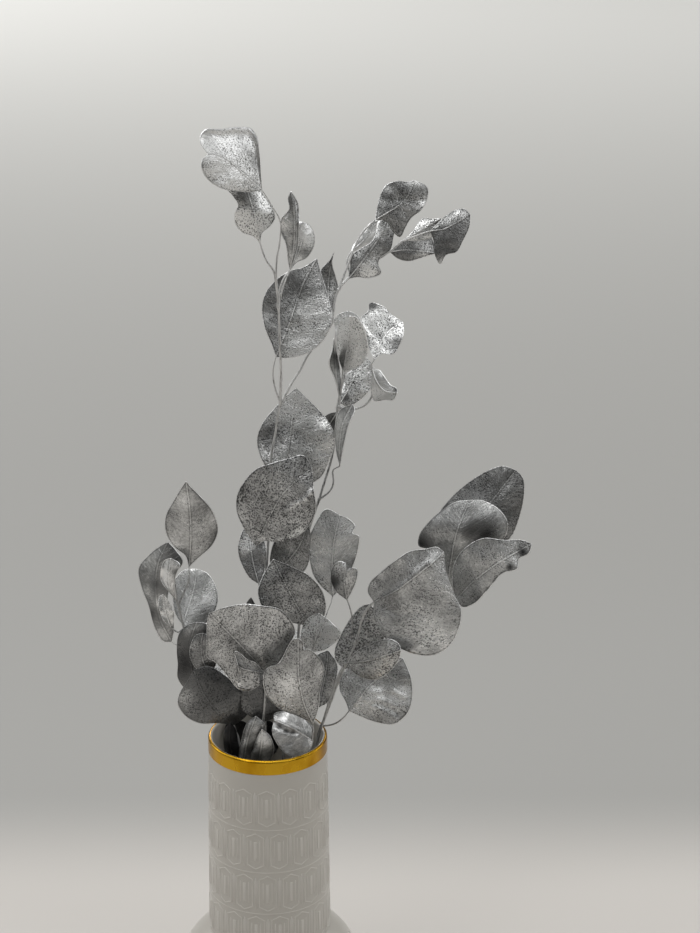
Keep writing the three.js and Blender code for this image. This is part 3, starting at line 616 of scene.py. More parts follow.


# %% [markdown]
# The blade is bent as one sheet, and a Solidify modifier gives it its thickness. Its vertices carry
# what the material asks for: the distances from the rib, from the base and from the edge, the leaf's
# batch of paint, its tone with its painted light and shade, and how pitted it is.

# %% Leaf builder
ROWS, COLUMNS = {False: 56, True: 40}, {False: 44, True: 28}
LEAF_THICKNESS = 0.45
PIXEL = rim_distance / FOCAL_IN_PIXELS
MARGIN_WAVE, MARGIN_WAVE_COUNTS = 1.7, (2.2, 4.1)
DENTS = ((30, 0.16), (14, 0.07), (7, 0.03))  # (width in pixels, depth in mm)
DENTS_OF_EACH = 3
EDGE_CURL_FROM, TIP_CURL_FROM, CURL_POWER = 0.7, 0.78, 1.5
BATCHES = 9


def make_leaf(leaf, place, seed):
    """Models one blade and returns it with the line of its rib in mm."""
    rows, columns = ROWS[leaf.small], COLUMNS[leaf.small]
    bpy.ops.object.select_all(action="DESELECT")
    bpy.ops.mesh.primitive_grid_add(x_subdivisions=columns, y_subdivisions=rows, size=2)
    sheet = bpy.context.object
    sheet.name = sheet.data.name = leaf.name
    grid = np.empty(len(sheet.data.vertices) * 3)
    sheet.data.vertices.foreach_get("co", grid)
    across, up, _ = grid.reshape(-1, 3).T
    share_up = (up + 1) / 2
    levels, level = np.unique(np.round(share_up, 5), return_inverse=True)
    midrib = dots(leaf.midrib)
    spine = curve_at(midrib, levels)
    base, tip = midrib[0][:2], midrib[-1][:2]
    edges = [curve_at([base, *dots(side), tip], levels) for side in (leaf.left, leaf.right)]
    widths = [np.hypot(*(edge - spine[:, :2]).T) for edge in edges]
    on_right = across >= 0
    edge = np.where(on_right[:, None], edges[1][level], edges[0][level])
    width = np.where(on_right, widths[1][level], widths[0][level])
    reach = width / np.where(on_right, widths[1].max(), widths[0].max())
    out = np.abs(across)
    x = spine[level, 0] + (edge[:, 0] - spine[level, 0]) * out
    y = spine[level, 1] + (edge[:, 1] - spine[level, 1]) * out
    tilt, cup = (leaf.lean[1] - leaf.lean[0]) / 2, (leaf.lean[1] + leaf.lean[0]) / 2
    depth = spine[level, 2] + reach * (tilt * across + cup * across ** 2)

    random = np.random.default_rng(seed)
    swing = np.sin(math.pi * share_up) ** 0.6
    for count in MARGIN_WAVE_COUNTS:
        phase = random.uniform(0, 2 * math.pi, 2)
        sway = np.sin(2 * math.pi * count * share_up + np.where(on_right, phase[0], phase[1]))
        depth = depth + leaf.wave * MARGIN_WAVE / count * swing * sway * out ** 2 * reach
    for wavelength, size in DENTS:
        for _ in range(DENTS_OF_EACH):
            turn, phase = random.uniform(0, 2 * math.pi, 2)
            onward = x * math.cos(turn) + y * math.sin(turn)
            wobble = np.sin(2 * math.pi * onward / wavelength + phase)
            depth = depth + leaf.dents * size * wobble * swing
    left_curl, right_curl, tip_curl = leaf.curl
    edge_roll = smooth_step(out, EDGE_CURL_FROM, 1.0) ** CURL_POWER * swing
    depth = depth - np.where(on_right, right_curl, left_curl) * edge_roll
    depth = depth - tip_curl * smooth_step(share_up, TIP_CURL_FROM, 1.0) ** CURL_POWER
    for line, crease_width, height in leaf.creases:
        depth = depth - height * np.exp(-(line_distance(x, y, dots(line)) / crease_width) ** 2)
    space = place(np.stack([x, y, depth], 1)) * MM
    sheet.data.vertices.foreach_set("co", space.ravel())

    spine_length = np.linalg.norm(np.diff(spine[:, :2], axis=0), axis=1).sum() * PIXEL
    shade = np.full(len(x), leaf.tone)
    # Spots of painted highlight and painted shade on the leaf's tone.
    for patch_x, patch_y, size, gain in dots(leaf.painted_light_spots):
        shade = shade * (1 + gain * np.exp(-((x - patch_x) ** 2 + (y - patch_y) ** 2) / size ** 2))
    numbers = {"from_rib": across * width * PIXEL, "from_base": share_up * spine_length,
               "to_edge": (1 - out) * width * PIXEL, "batch": random.uniform(0, BATCHES),
               "tone": shade, "specks": leaf.specks}
    for name, values in numbers.items():
        kept = sheet.data.attributes.new(name, "FLOAT", "POINT")
        kept.data.foreach_set("value", np.broadcast_to(values, len(x)).astype(np.float32))
    edit_all(sheet)
    bpy.ops.mesh.remove_doubles(threshold=0.01 * MM)
    bpy.ops.object.mode_set(mode="OBJECT")
    apply_modifier(sheet, "SOLIDIFY", thickness=LEAF_THICKNESS * MM, offset=0)
    bpy.ops.object.shade_smooth()
    sheet.data.materials.append(silver_leaf)
    middle = np.flatnonzero(out < 0.5 / columns)
    return sheet, space[middle[np.argsort(share_up[middle])]] / MM


# %% [markdown]
# ## How stems and stalks are made
# A stem is a tube that gets thinner towards its end and swells a little where a stalk leaves it. A
# curve with a round bevel gives that, because each of its points has its own radius. The stalk of a
# leaf goes on as the raised rib of the blade and fades out before the tip.

# %% Tube builder
def make_tubes(name, paths):
    """paths: (points in mm, radii in mm). All become one mesh of round closed tubes."""
    bpy.ops.object.select_all(action="DESELECT")
    bpy.ops.curve.primitive_bezier_curve_add(location=(0, 0, 0))
    tubes = bpy.context.object
    tubes.name = name
    tubes.data.splines.clear()
    tubes.data.dimensions = "3D"
    tubes.data.bevel_depth = MM
    tubes.data.bevel_resolution = 2
    tubes.data.use_fill_caps = True
    for points, radii in paths:
        line = tubes.data.splines.new("POLY")
        line.points.add(len(points) - 1)
        line.points.foreach_set("co", np.column_stack([points * MM, np.ones(len(points))]).ravel())
        line.points.foreach_set("radius", np.asarray(radii, float))
    pick(tubes)
    bpy.ops.object.convert(target="MESH")
    bpy.ops.object.shade_smooth()
    tubes.data.materials.append(silver_stem)
    return tubes


def nearest_on(lines, point):
    """Point of the stems nearest to a given point."""
    every = np.vstack(lines)
    return every[np.argmin(np.linalg.norm(every - point, axis=1))]


# %% Branch builder
STEM_RADIUS, SIDE_RADIUS, STALK_RADIUS = 1.35, 0.95, 0.62
STEM_END, SIDE_END, RIB_START, RIB_END = 0.75, 0.675, 0.46, 0.14
STALK_SAMPLES, STEM_SAMPLES_PER_POINT = 14, 18
STALK_FLARE = 1.25
RIB_SHARE, RIB_FADE = 0.9, 1.6
NODE_SWELL, NODE_LENGTH = 0.35, 2.2
STEM_FOOT, STEM_STRAIGHT = FLOOR + 0.3, 30


def rise(x, y, *more):
    """The first points of a stem, which stands on the vase's floor."""
    return [(x, y, STEM_FOOT), (x, y, STEM_FOOT + STEM_STRAIGHT), *more]


def climb(down, start, end):
    """Share of the way up from one height of the photograph to another."""
    return np.clip((start - down) / (start - end), 0, 1)


def make_branch(name, node, foot, stem, leaves, side=(), sway=lambda across, down: 0 * across):
    """foot: first points of the stem in mm. stem and side: their across,down,depth. sway: what is
    added to the depth at a place of the photograph."""
    def place(points):
        points = np.array(points, float)
        points[..., 2] += sway(points[..., 0], points[..., 1])
        return seen(points)

    lines = []
    for path in map(dots, (stem, *side)):
        points = place(path) if lines else np.vstack([np.asarray(foot, float), place(path)])
        lines.append(curve_at(points, np.linspace(0, 1, STEM_SAMPLES_PER_POINT * len(path))))
    ends = [(STEM_RADIUS, STEM_END)] + [(SIDE_RADIUS, SIDE_END)] * len(side)
    tubes = [[line, np.linspace(*radii, len(line))] for line, radii in zip(lines, ends)]
    blades = []
    for number, leaf in enumerate(leaves):
        blade, middle = make_leaf(leaf, place, seed=len(name) * 100 + number)
        blades.append(blade)
        from_stem, *onwards = dots(leaf.stalk)
        root = nearest_on(lines, place(from_stem))
        rib = middle[:int(RIB_SHARE * len(middle)):2]
        start, end = RIB_START * leaf.rib, RIB_END * leaf.rib
        stalk = curve_at(np.vstack([root, *map(place, onwards), rib[:2]]),
                         np.linspace(0, 1, STALK_SAMPLES))
        fade = np.linspace(1, 0, len(rib) - 2) ** RIB_FADE
        radii = np.concatenate([np.linspace(STALK_RADIUS * STALK_FLARE, start, STALK_SAMPLES),
                                end + (start - end) * fade])
        tubes.append([np.vstack([stalk, rib[2:]]), radii])
        for points, thickness in tubes[:len(lines)]:
            near = np.linalg.norm(points - root, axis=1)
            thickness *= 1 + NODE_SWELL * np.exp(-(near / NODE_LENGTH) ** 2)
    whole = join(name, [*blades, make_tubes(name + "_tubes", tubes)])
    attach(whole, "root")
    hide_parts(node)
    print(name + ":", len(leaves), "leaves,", triangles(whole), "triangles")


# %% [markdown]
# ## Tall branch
# The tallest stem forks above the middle. The left fork carries a broad matte leaf at the very top,
# the right one a spray of four. Halfway up, two round leaves hide the stem.

# %% Tall branch
make_branch("tall_branch_dressed", "tall_branch", foot=rise(-4, 9, (-3.5, 8, 150)),
            stem="265,722,6 264,680,7 263,620,9 267,562,10 268,544,10 271,500,11 272,450,11 275,436,11 "
                 "278,415,10.5 281,400,10",
            side=["280.5,405,10 281,370,7 280,348,5 278.6,310,4 276.5,286,4 275.5,274,4",
                  "280.5,405,10 290,386,13 300,370,16 308,355,18 321,338,21 331.5,324,23 333,314,24 "
                  "336,296,25 340,286,25 349,262,25 354,249,25 360,236,24 366,228,23",
                  "338,290,25 345,281,28 358,271,33 374,261,35 389,252,32 402,241,29"],
            sway=lambda across, down: 0.45 * climb(down, 430, 200) * (across - 292),
            leaves=[
    Leaf("crown_tip", "262,190,-2 244,174,-7 222,156,-11 208,154,-13",
         "252,192 236,191 220,188 208,180 202,170 202,160",
         "261,176 259,150 257,137 250,128 236,127 220,129 206,129 200,136 201,144",
         (-6, 14), "276,280,4 276.5,262,4 280,240,3 280.5,222,2 272,206,0", tone=1.2, rib=0.5, specks=0.32,
         wave=0.6, curl=(0, 3, 0), painted_light_spots="226,134,12,0.3 203,143,8,0.5 257,165,9,-0.3 214,172,12,0.2"),
    Leaf("crown_fold", "260,243,9 256,220,8 250,200,11 243,180,15",
         "253,236 242,232 235,222 235,213 238,205 233,196 227,188",
         "262,233 270,226 275,217 271,206 264,196 255,184",
         (7, 6), "276,286,4 273.5,271,5 266,260,7", tone=1.27,
         painted_light_spots="243,194,13,-0.6 238,214,7,0.6 262,222,8,0.4"),
    Leaf("crown_narrow", "290,270,7 293,252,5 294.5,232,5 294,212,6 291,191,10",
         "288,262 286,245 281,232 281,219 289,209 288,198", "294,260 298,246 299,230 299,216 298,203",
         (8, 3), "278.5,306,4 280,288,5 285,276,6", specks=0.35, curl=(1.5, 2.5, 0),
         painted_light_spots="289,204,9,-0.4 283,225,5,0.3"),
    Leaf("crown_broad", "276,357,9 286,332,13 294,310,17 304,282,22 317,258,26",
         "272,345 265,328 262,308 266,292 277,279 290,271 304,267",
         "283,358 300,356 316,348 328,333 332,316 329,300 323,280",
         (10, -8), "281,402,10 275,388,10 273,372,9", tone=0.84, rib=0.6,
         painted_light_spots="322,330,24,0.9 298,352,15,0.9 286,285,20,-0.3"),
    Leaf("crown_spur", "331,314,24 328,294,29 329,274,32 334,252,30",
         "325,302 320,288 321,270 330,260", "334,304 338,289 335,275 332,263",
         (2, 8), "332,320,23.5", small=True, tone=0.7),
    Leaf("spray_top", "375,220,21 390,211,19 402,203,18 410,191,19 414,180,22",
         "377,208 380,196 386,185 397,181 407,182",
         "387,221 393,232 400,237 405,228 411,218 421,210 427,199 427,187",
         (6, 4), "365,229,23", tone=0.74, painted_light_spots="414,179,6,1.3 424,204,7,0.6"),
    Leaf("spray_low", "348,279,25 360,264,24 372,248,25 382,232,27 386,219,30",
         "350,268 351,256 360,249 371,242 376,232 378,222",
         "357,277 369,278 381,273 378,264 381,257 390,250 393,238 394,227",
         (3, 6), "339,289,25 344,283,25", tone=0.74, painted_light_spots="376,229,9,1.6 368,270,8,1.4 388,244,9,-0.3"),
    Leaf("spray_rolled", "390,252,33 404,250,36 420,251,38 437,253,41",
         "397,244 412,238 429,236", "397,258 408,261 423,257",
         (8, 3), "381,256,34", tone=0.57, painted_light_spots="424,250,8,1.2"),
    Leaf("spray_slip", "404,240,30 416,233,32 428,226,33 441,218,32",
         "413,231 422,219 432,219", "418,241 431,238 439,228",
         (4, 4), "396,246,31", small=True, tone=1.2),
    Leaf("spray_end", "430,231,27 444,229,23 458,222,21 470,214,22",
         "437,224 447,215 456,210 464,209", "434,242 434,252 440,264 446,255 456,252 463,240 469,227",
         (4, 6), "401,241,29 418,235,28", tone=0.65, painted_light_spots="461,212,6,0.6 441,262,6,0.8"),
    Leaf("waist_high", "284,480,17 288,452,24 292,420,32 296,388,38",
         "270,472 261,458 257,440 262,424 272,411 284,398", "300,486 320,478 331,456 335,438 328,421 312,403",
         (4, 1), "271,480,11 276,484,14", tone=0.98, painted_light_spots="296,403,13,1.2 330,450,18,0.3 272,436,14,-0.3"),
    Leaf("waist_broad", "256,546,3 268,520,-8 282,495,-16 297,480,-18 312,468,-14",
         "245,530 237,512 237,496 244,482 256,469 272,463 290,458 303,455",
         "264,541 280,542 298,536 311,523 316,508 314,492 313,480",
         (8, -4), "266,570,10 263,556,7", tone=0.86, rib=0.5, specks=0.62,
         creases=[("313,491 304,500 296,504 284,512", 2.6, 1.7)],
         painted_light_spots="262,500,20,-0.12 300,530,16,0.2 310,493,2.5,0.8 305,499,2.5,0.8 299,503,2.5,0.8 "
                 "292,506,2.5,0.6 262,541,3,0.9 272,541,3,0.9 282,540,3,0.9 292,537,3,0.8 301,532,3,0.6"),
    Leaf("waist_left", "259,584,8 254,566,14 251,548,20 250,528,26",
         "250,578 241,562 238,548 240,538 244,529", "263,576 266,562 266,546 260,532",
         (6, -4), "264,600,9.5 261,592,9", tone=0.7, painted_light_spots="245,545,8,1.3"),
    Leaf("waist_right", "271,574,11 286,562,12 300,544,12 308,520,12",
         "270,556 276,538 292,522", "282,576 296,576 305,570 310,556 311,538",
         (-6, 12), "265,590,9.5 267,580,10", tone=0.74),
    Leaf("dark_tip", "260,650,4 255,625,-2 251,597,-5",
         "248,638 243,618 246,604", "264,636 262,616 255,604",
         (4, 2), "264,668,7", small=True, tone=0.43),
    Leaf("back_waist_low", "273,528,15 283,522,40 292,510,62",
         "266,518 268,504 280,496", "284,536 304,528 306,512",
         (6, -4), "269,536,10.5"),
    Leaf("back_waist_high", "276,490,16 284,472,42 290,452,64",
         "268,482 266,464 274,446", "288,488 306,474 306,456",
         (4, -4), "271,498,11"),
    Leaf("back_crown", "314,338,26 304,328,42 294,314,58",
         "304,342 290,334 284,318", "320,328 318,312 306,302",
         (5, 5), "319,340,21"),
    Leaf("crown_half", "290,270,9 297,256,10 302,239,11 303,222,12",
         "291,257 294,238 297,222", "297,262 306,258 313,248 314.5,236 309,225",
         (3, 7), "278.5,306,4 284,284,6", small=True, tone=1.6, specks=0.35,
         painted_light_spots="307,229,8,0.6 304,252,9,-0.55"),
    Leaf("spray_inner", "351,252,35 361,243,38 370,233,40 377,220,41",
         "353,246 362,233 370,223", "361,249 373,242 380,229",
         (1, 4), "345,268,33 347,260,34", small=True, tone=2.4, specks=0.1)])

# %% [markdown]
# ## Middle branch
# A thin stem behind the tall one. It ends in a bunch of narrow leaves, one of them very bright.

# %% Middle branch
make_branch("middle_branch_dressed", "middle_branch", foot=rise(7, 13, (9, 15, 150)),
            stem="285,722,16 290,690,17 297,650,19 300,600,22 300,565,24 306,540,25 314,514,25 319,500,25 "
                 "322,490,25 328,471,26 331,461,26 335,440,27 337.5,410,27.5 339.5,398,27",
            side=["338,406,27.5 345,409,28 354,409,29 365,405,31 372,396,32 375,385,32 373,371,31"],
            sway=lambda across, down: climb(down, 600, 400) * (30 - 0.3 * (across - 345)),
            leaves=[
    Leaf("bunch_front", "343,371,25 347,350,18 349,332,10 350,316,4",
         "339,358 337,340 339,325 344,317", "353,369 363,363 368,350 366,336 361,323 356,317",
         (8, -4), "339.5,402,27 341,388,26", tone=1.43, specks=0.4, wave=0.4,
         painted_light_spots="343,356,7,0.5 342,322,8,0.3 366,357,6,0.5"),
    # Painted highlight: this leaf is painted very light where it catches the light.
    Leaf("bunch_behind", "345,374,31 347,350,34 348,330,38 347,311,42",
         "338,358 335,340 335,328 334,320 339,314", "356,366 362,350 363,334 361,320 354,313",
         (-3, 5), "340,398,27.5 342,386,29", tone=2.05, specks=0.2),
    Leaf("bunch_bright", "374,360,31 380,345,38 388,332,46 403,322,54",
         "369,347 366,332 361,318 368,311 370,303 383,306 391,314", "382,354 393,354 400,344 404,332",
         (10, -6), "373,372,31.5 371.5,365,31", tone=1.22,
         painted_light_spots="371,306,6,-0.6 397,344,11,-0.55 376,319,8,0.3"),
    Leaf("bunch_low", "340,403,29 348,390,38 356,372,48 362,354,56",
         "341,392 341,378 347,362", "348,407 360,400 369,391 375,378 371,362",
         (2, 5), "338.5,408,27.5", tone=1.15, painted_light_spots="369,389,6,1.0 345,398,5,-0.6"),
    Leaf("bunch_curl", "372.5,369,31 377,382,26 385,391,22 397.5,393,19",
         "371.5,382 371.5,393 375,401 385,400 393,400", "379.5,370 385,377 391,385 396.5,388",
         (2, 1), "373.8,378,32", small=True, tone=1.33, specks=0.2, wave=0.3,
         painted_light_spots="388,397,4,0.6 396,389,3,-0.6"),
    Leaf("bunch_sliver", "339.5,400,26 337,384,22 335,362,18 334,338,17",
         "335,380 329,364 332,350", "341,384 339,364 336,350",
         (-12, 10), "338.5,408,27.5", small=True, tone=1.1, specks=0.2,
         painted_light_spots="337.5,357,5,-0.9 339,366,4,-0.9"),
    Leaf("hanging", "340,466,24 340,444,14 343,424,8 353,404,9",
         "337,455 335,438 335.5,424 340,410", "342,456 345,440 349,424 355,410",
         (14, -8), "320,499,25 330,491,25 333.5,483,25 333,470,25", tone=0.88, specks=0.15),
    Leaf("drooping", "337.5,412,29 330,424,40 322,440,50 314,456,58",
         "331,413 324,417 314,428 310,444", "336,426 333,442 325,456",
         (4, 2), "337.5,404,27.5", tone=0.64, painted_light_spots="333,421,8,-0.8"),
    Leaf("middle_dark", "309,626,8 297,606,-4 285,584,-14 273,559,-20",
         "290,622 266,612 258,594 261,580 267,568", "322,620 326,606 321,589 308,575 290,566",
         (-8, 8), "298,656,18.5 304,640,13", tone=0.82, rib=0.5, specks=0.6),
    Leaf("middle_smooth", "333,597,6 332,572,2 334,542,-1 340,515,0",
         "321,586 313,574 309,554 310,536 317,520 326,509",
         "343,585 353,566 358.5,548 359,536 352.5,533 355.5,526 349,519",
         (2, -8), "296,664,18 305,662,2 314,646,-8 321,629,-7 327,613,-1", tone=1.09, rib=0.5, specks=0.3),
    Leaf("middle_small", "312,652,0 316,634,-2 319,613,-1",
         "303,645 301,632 308,618", "324,650 335,643 341,634 330,621",
         (4, -6), "296,668,17.5 304,664,8", small=True, tone=1.45, painted_light_spots="334,638,9,1.3"),
    Leaf("middle_low", "318,708,14 322,690,19 326,670,24 328,650,28",
         "311,696 309,676 316,656", "328,702 335,684 337,664",
         (3, 3), "290,694,17 304,704,15", tone=0.77),
    Leaf("back_middle_high", "301,596,24 296,590,48 290,578,72",
         "290,596 274,590 276,572", "310,600 316,590 304,572",
         (6, 0), "300,606,22"),
    Leaf("back_middle_low", "296,652,21 290,648,44 280,640,66",
         "282,650 264,642 264,626", "302,658 306,646 294,630",
         (0, 8), "297,662,18.5")])

# %% [markdown]
# ## Right branch
# It leans far out to the right and ends in a fan of four broad pitted leaves. A second thin stem
# runs beside its lower half.

# %% Right branch
make_branch("right_branch_dressed", "right_branch", foot=rise(18, 2, (25, 3, 140)),
            stem="316,747,4 319,733,5 323.5,721,5 328,709,5 333,695,5 340,677,4 347,662,3 352,652,2 "
                 "358,636,0 361,622,-2 365,612,-3 374,602,-4 392,592,1 415,583,6 438,578,9",
            side=["317,743,5 321,729,2 325.5,714,1 330,699,1 336,682,1 341.5,669,2 346,663,3"],
            sway=lambda across, down: -0.33 * np.maximum(0, across - 325),
            leaves=[
    Leaf("fan_low", "374,602,-5 397,590,-12 416,576,-16 431,564,-16 444,552,-12",
         "368,592 370,583 382,571 396,560 410,551 425,549 437,547",
         "374,616 383,636 398,647 415,654 434,655 450,645 459,628 461,610 454,594 446,571",
         (8, -12), "367,608,-3.5", tone=0.92, rib=0.35, specks=0.42,
         creases=[("384,598 397,591 412,577 429,562", 3, 1.2), ("382,606 396,614 421,613", 4, -1.0)],
         painted_light_spots="392,600,12,-0.2 430,636,20,0.25 373,584,4,0.6 381,574,4,0.5 434,652,10,-0.2"),
    Leaf("fan_high", "446,598,6 450,568,0 456,535,-2 470,500,8",
         "440,584 437,564 430,549 419,546 420,534 430,521 444,509 456,502",
         "458,592 472,566 488,546 504,538 508,524 500,510 484,501",
         (10, 7), "436,579,8.5 442,590,7.5", tone=0.92, rib=0.45, specks=0.3,
         painted_light_spots="421,545,11,-0.95 412,535,8,-0.5 486,534,12,-0.85 470,532,9,-0.6 440,512,16,-0.25 "
                 "470,512,14,-0.15"),
    Leaf("fan_far", "453,548,13 474,522,20 496,496,30 516,470,40",
         "444,530 440,513 450,499 468,483 487,471 503,466", "470,550 494,546 510,538 519,518 524,495 523,478",
         (4, 6), "436,579,9 446,564,11", tone=0.7, rib=0.35, painted_light_spots="468,488,12,-0.3"),
    Leaf("fan_torn", "456,600,0 474,581,-10 500,562,-16 532,544,-14",
         "453,586 453,570 458,556 470,544 484,538 504,540 522,540",
         "463,607 475,603 490,587 503,573 517,569 519,559 529,553",
         (8, -4), "437,578,8.5 448,590,4", tone=0.93, rib=0.35, specks=0.4,
         painted_light_spots="523,552,4,-0.97 531,541,3,-0.9 510,567,3,-0.95 504,575,3,-0.97 497,582,3,-0.95 "
                 "489,590,3,-0.9 464,611,4,-0.9"),
    Leaf("low_streaked", "344,669,7 352,650,6 360,627,4 370,604,2",
         "336,660 335,650 344,629 353,615 362,606", "360,666 376,654 384,638 381,625 377,612",
         (9, -3), "338,682,4.5", tone=0.95, specks=0.8),
    Leaf("low_thin", "348,663,1 366,661,-12 384,656,-22 401,650,-28",
         "354,653 368,645 380,640 391,639 399,644", "352,671 364,678 378,679 392,669 399,659",
         (3, 4), "346,666,3", tone=0.93, specks=0.6, painted_light_spots="380,668,10,0.3"),
    Leaf("low_round", "349,711,3 366,690,8 384,673,14 403,658,20",
         "346,702 340,690 341,677 350,666 372,656", "360,716 376,722 394,724 407,714 412,699 411,678",
         (10, -6), "325,727,5 334,724,4 343,718,3", specks=0.4, creases=[("356,704 360,690 358,676", 2, 0.5),
         ("368,694 374,682 372,668", 2, 0.5), ("366,700 382,700 398,708", 2, 0.6),
         ("374,692 392,690 406,698", 2, 0.6), ("372,706 384,710 396,718", 2, 0.5)],
         painted_light_spots="376,692,9,0.5 404,692,7,0.4 360,700,8,0.25 392,672,9,-0.2"),
    Leaf("small_curled", "347,600,-6 345,588,-8 344,577,-9 347,570,-8",
         "337,592 331,580 332,568 339,561 345,563", "352,591 357,578 357,569 351,568",
         (3, 3), "332,699,5 337,684,9 345,662,11 351,640,8 352,618,0 350,608,-4", small=True, tone=0.93,
         painted_light_spots="341,563,7,1.0 333,582,6,-0.7"),
    Leaf("back_fan", "414,588,9 414,602,32 418,612,56",
         "402,592 394,606 404,622", "428,590 438,604 434,620",
         (4, -4), "408,585,5"),
    Leaf("back_right", "354,650,8 364,660,38 376,672,60",
         "352,664 360,684 374,694", "368,650 386,656 394,672",
         (3, -5), "350,656,2")])

# %% [markdown]
# ## Left branch
# A short stem with one pointed and one round leaf on long stalks, and dark folded ones below.

# %% Left branch
make_branch("left_branch_dressed", "left_branch", foot=rise(-17, -4, (-21, -5, 140)),
            stem="239,744,-5 234,728,-4 226,706,-3 212,684,0 200,667,2 190,647,2 184,628,1 180,612,0 "
                 "177,598,0 175,584,0",
            sway=lambda across, down: 0.35 * np.maximum(0, 238 - across),
            leaves=[
    Leaf("left_pointed", "189,567,-3 191,540,-14 190,510,-22 186,481,-26",
         "186,556 174,546 166,532 166,516 173,502 180,490", "198,558 212,545 218,530 213,512 202,498 191,487",
         (4, 5), "179,604,0 185,590,-1 189,580,-2", tone=0.84, rib=0.6, specks=0.25,
         painted_light_spots="183,500,9,0.4 200,505,10,-0.15"),
    Leaf("left_round", "183,626,5 188,608,14 194,588,24 197,569,32",
         "175,612 173,594 175,580 184,570", "198,628 212,616 218,600 215,584 207,573",
         (3, 4), "186.5,636,1.5", tone=1.1, rib=0.6, specks=0.25, wave=0.4, dents=0.3),
    Leaf("left_folded", "172,642,5 160,618,2 156,590,-1 158,565,-2 168,542,-1",
         "163,641 155,628 149,606 142,588 139,568 149,555 159,547",
         "174,626 168,605 170,585 176,573 183,562 175,549",
         (16, -5), "190,648,2 180,646,4", tone=0.59, rib=0.3, specks=0.15,
         creases=[("147,560 152,590 160,622", 6, -2.2)],
         painted_light_spots="150,560,12,0.6 147,590,6,0.4 156,584,5,-0.6 163,603,6,1.9 168,614,5,1.2 151,614,6,-0.8 "
                 "161,636,9,0.5 179,564,5,0.6"),
    Leaf("left_sliver", "176,600,-6 170,588,-12 169,574,-14 171,558,-12",
         "168,591 161,580 161,569 165,560", "175,589 176,575 180,564",
         (6, -2), "179,609,0", small=True, tone=1.22, specks=0.1, curl=(2, 0, 0),
         painted_light_spots="163,574,5,0.7 176,572,6,-0.55"),
    # Painted highlight: this small leaf is painted very light for a bright fold.
    Leaf("left_shard", "172,628,-3 166,612,-8 163,594,-8",
         "164,621 159,608 159,598", "174,614 168,600",
         (-4, 3), "184,629,1 178,632,-1", small=True, tone=2.4, specks=0.2, painted_light_spots="170,610,5,-0.6"),
    Leaf("left_curled", "200,694,-3 192,668,-8 190,645,-9 197,622,-6",
         "186,689 178,678 178,664 177,650 179,634 187,625", "212,684 214,658 212,636 207,624",
         (4, 3), "214,686,0 207,694,0", tone=0.42, rib=0.3, specks=0.3,
         painted_light_spots="184,664,14,-0.8 189,629,8,1.0 201,625,7,0.9"),
    Leaf("left_inner", "210,676,-10 203,660,-15 201,646,-16 203,633,-15",
         "196,668 190,656 191,644 196,635", "216,664 216,648 210,636",
         (3, 3), "216,690,-1 213,684,-4", tone=0.62, painted_light_spots="192,645,4,0.5"),
    Leaf("left_dark", "234,725,-9 218,712,-17 204,694,-21 194,670,-20",
         "218,723 200,723 186,716 178,704 180,693 187,682", "246,716 251,704 242,692 226,676 208,666",
         (4, 8), "237,738,-5", tone=0.42, rib=0.35, painted_light_spots="186,700,12,0.8 215,690,14,-0.35"),
    Leaf("back_left", "214,682,3 218,672,22 226,660,44",
         "204,680 202,666 214,650", "224,688 238,676 238,656",
         (4, 0), "213,686,0")])

# %% [markdown]
# ## Front branch
# One large leaf hangs over the rim, with a dark one below it and three folded ones in the mouth.

# %% Front branch
make_branch("front_branch_dressed", "front_branch", foot=rise(-1, -14, (-3, -18, 150)),
            stem="262,745,-20 263,724,-20 265,700,-21 266,684,-23",
            sway=lambda across, down: 0.25 * np.maximum(0, 262 - across),
            leaves=[
    Leaf("front_broad", "266,671,-26 248,653,-36 230,634,-44 209,613,-50",
         "252,690 240,690 228,677 215,662 207,657 207,640 207,624",
         "279,662 287,648 295,630 281,610 264,606 244,604 226,607",
         (4, 3), "266,690,-22", tone=0.86, rib=0.15, specks=0.48, painted_light_spots="250,606,18,0.2 228,640,9,-0.2"),
    Leaf("front_dark", "263,722,-17 264,705,-17 266,688,-17 269,668,-18",
         "250,716 239,706 236,690 248,676", "278,716 286,700 281,682",
         (0, 10), "262.5,736,-20", tone=0.4),
    Leaf("mouth_folded", "244,766,-25 246,748,-27 250,732,-27 256,716,-24",
         "236,760 241,742 247,723", "253,759 259,743 265,725",
         (6, 4), "262,762,-20.5 252,772,-23", small=True, tone=0.72, rib=0.15, specks=0.2,
         painted_light_spots="240,744,6,0.9 237,757,4,0.6 256,750,8,-0.9 254,721,5,0.4"),
    Leaf("mouth_beige", "258,768,-26 260,754,-29 262,742,-30 262,729,-29",
         "249,762 253,749 258,736", "270,760 274,749 270,736",
         (5, 4), "262.3,752,-20.5 260,766,-22", small=True, rib=0.15, specks=0.1,
         painted_light_spots="270,756,6,-0.5 257,757,6,-0.6 263,737,6,0.4"),
    # Painted shade: this leaf is almost black, for the dark deep in the mouth.
    Leaf("mouth_behind", "236,768,-22 232,752,-26 230,738,-26 231,722,-24",
         "228,760 224,746 225,730", "242,758 238,742 236,730",
         (3, 4), "262,756,-20 248,770,-18", small=True, tone=0.05, rib=0.4, specks=0.2),
    Leaf("front_flap", "264,673,-31 253,671,-39 244,669,-43 238,666,-45",
         "260,684 251,690 240,689 236,686 239,676", "256,663 247,659 240,653 235,651",
         (1, -1), "266,684,-26", small=True, tone=0.85, curl=(0, 1.5, 1.5), painted_light_spots="237,684,5,0.5")])
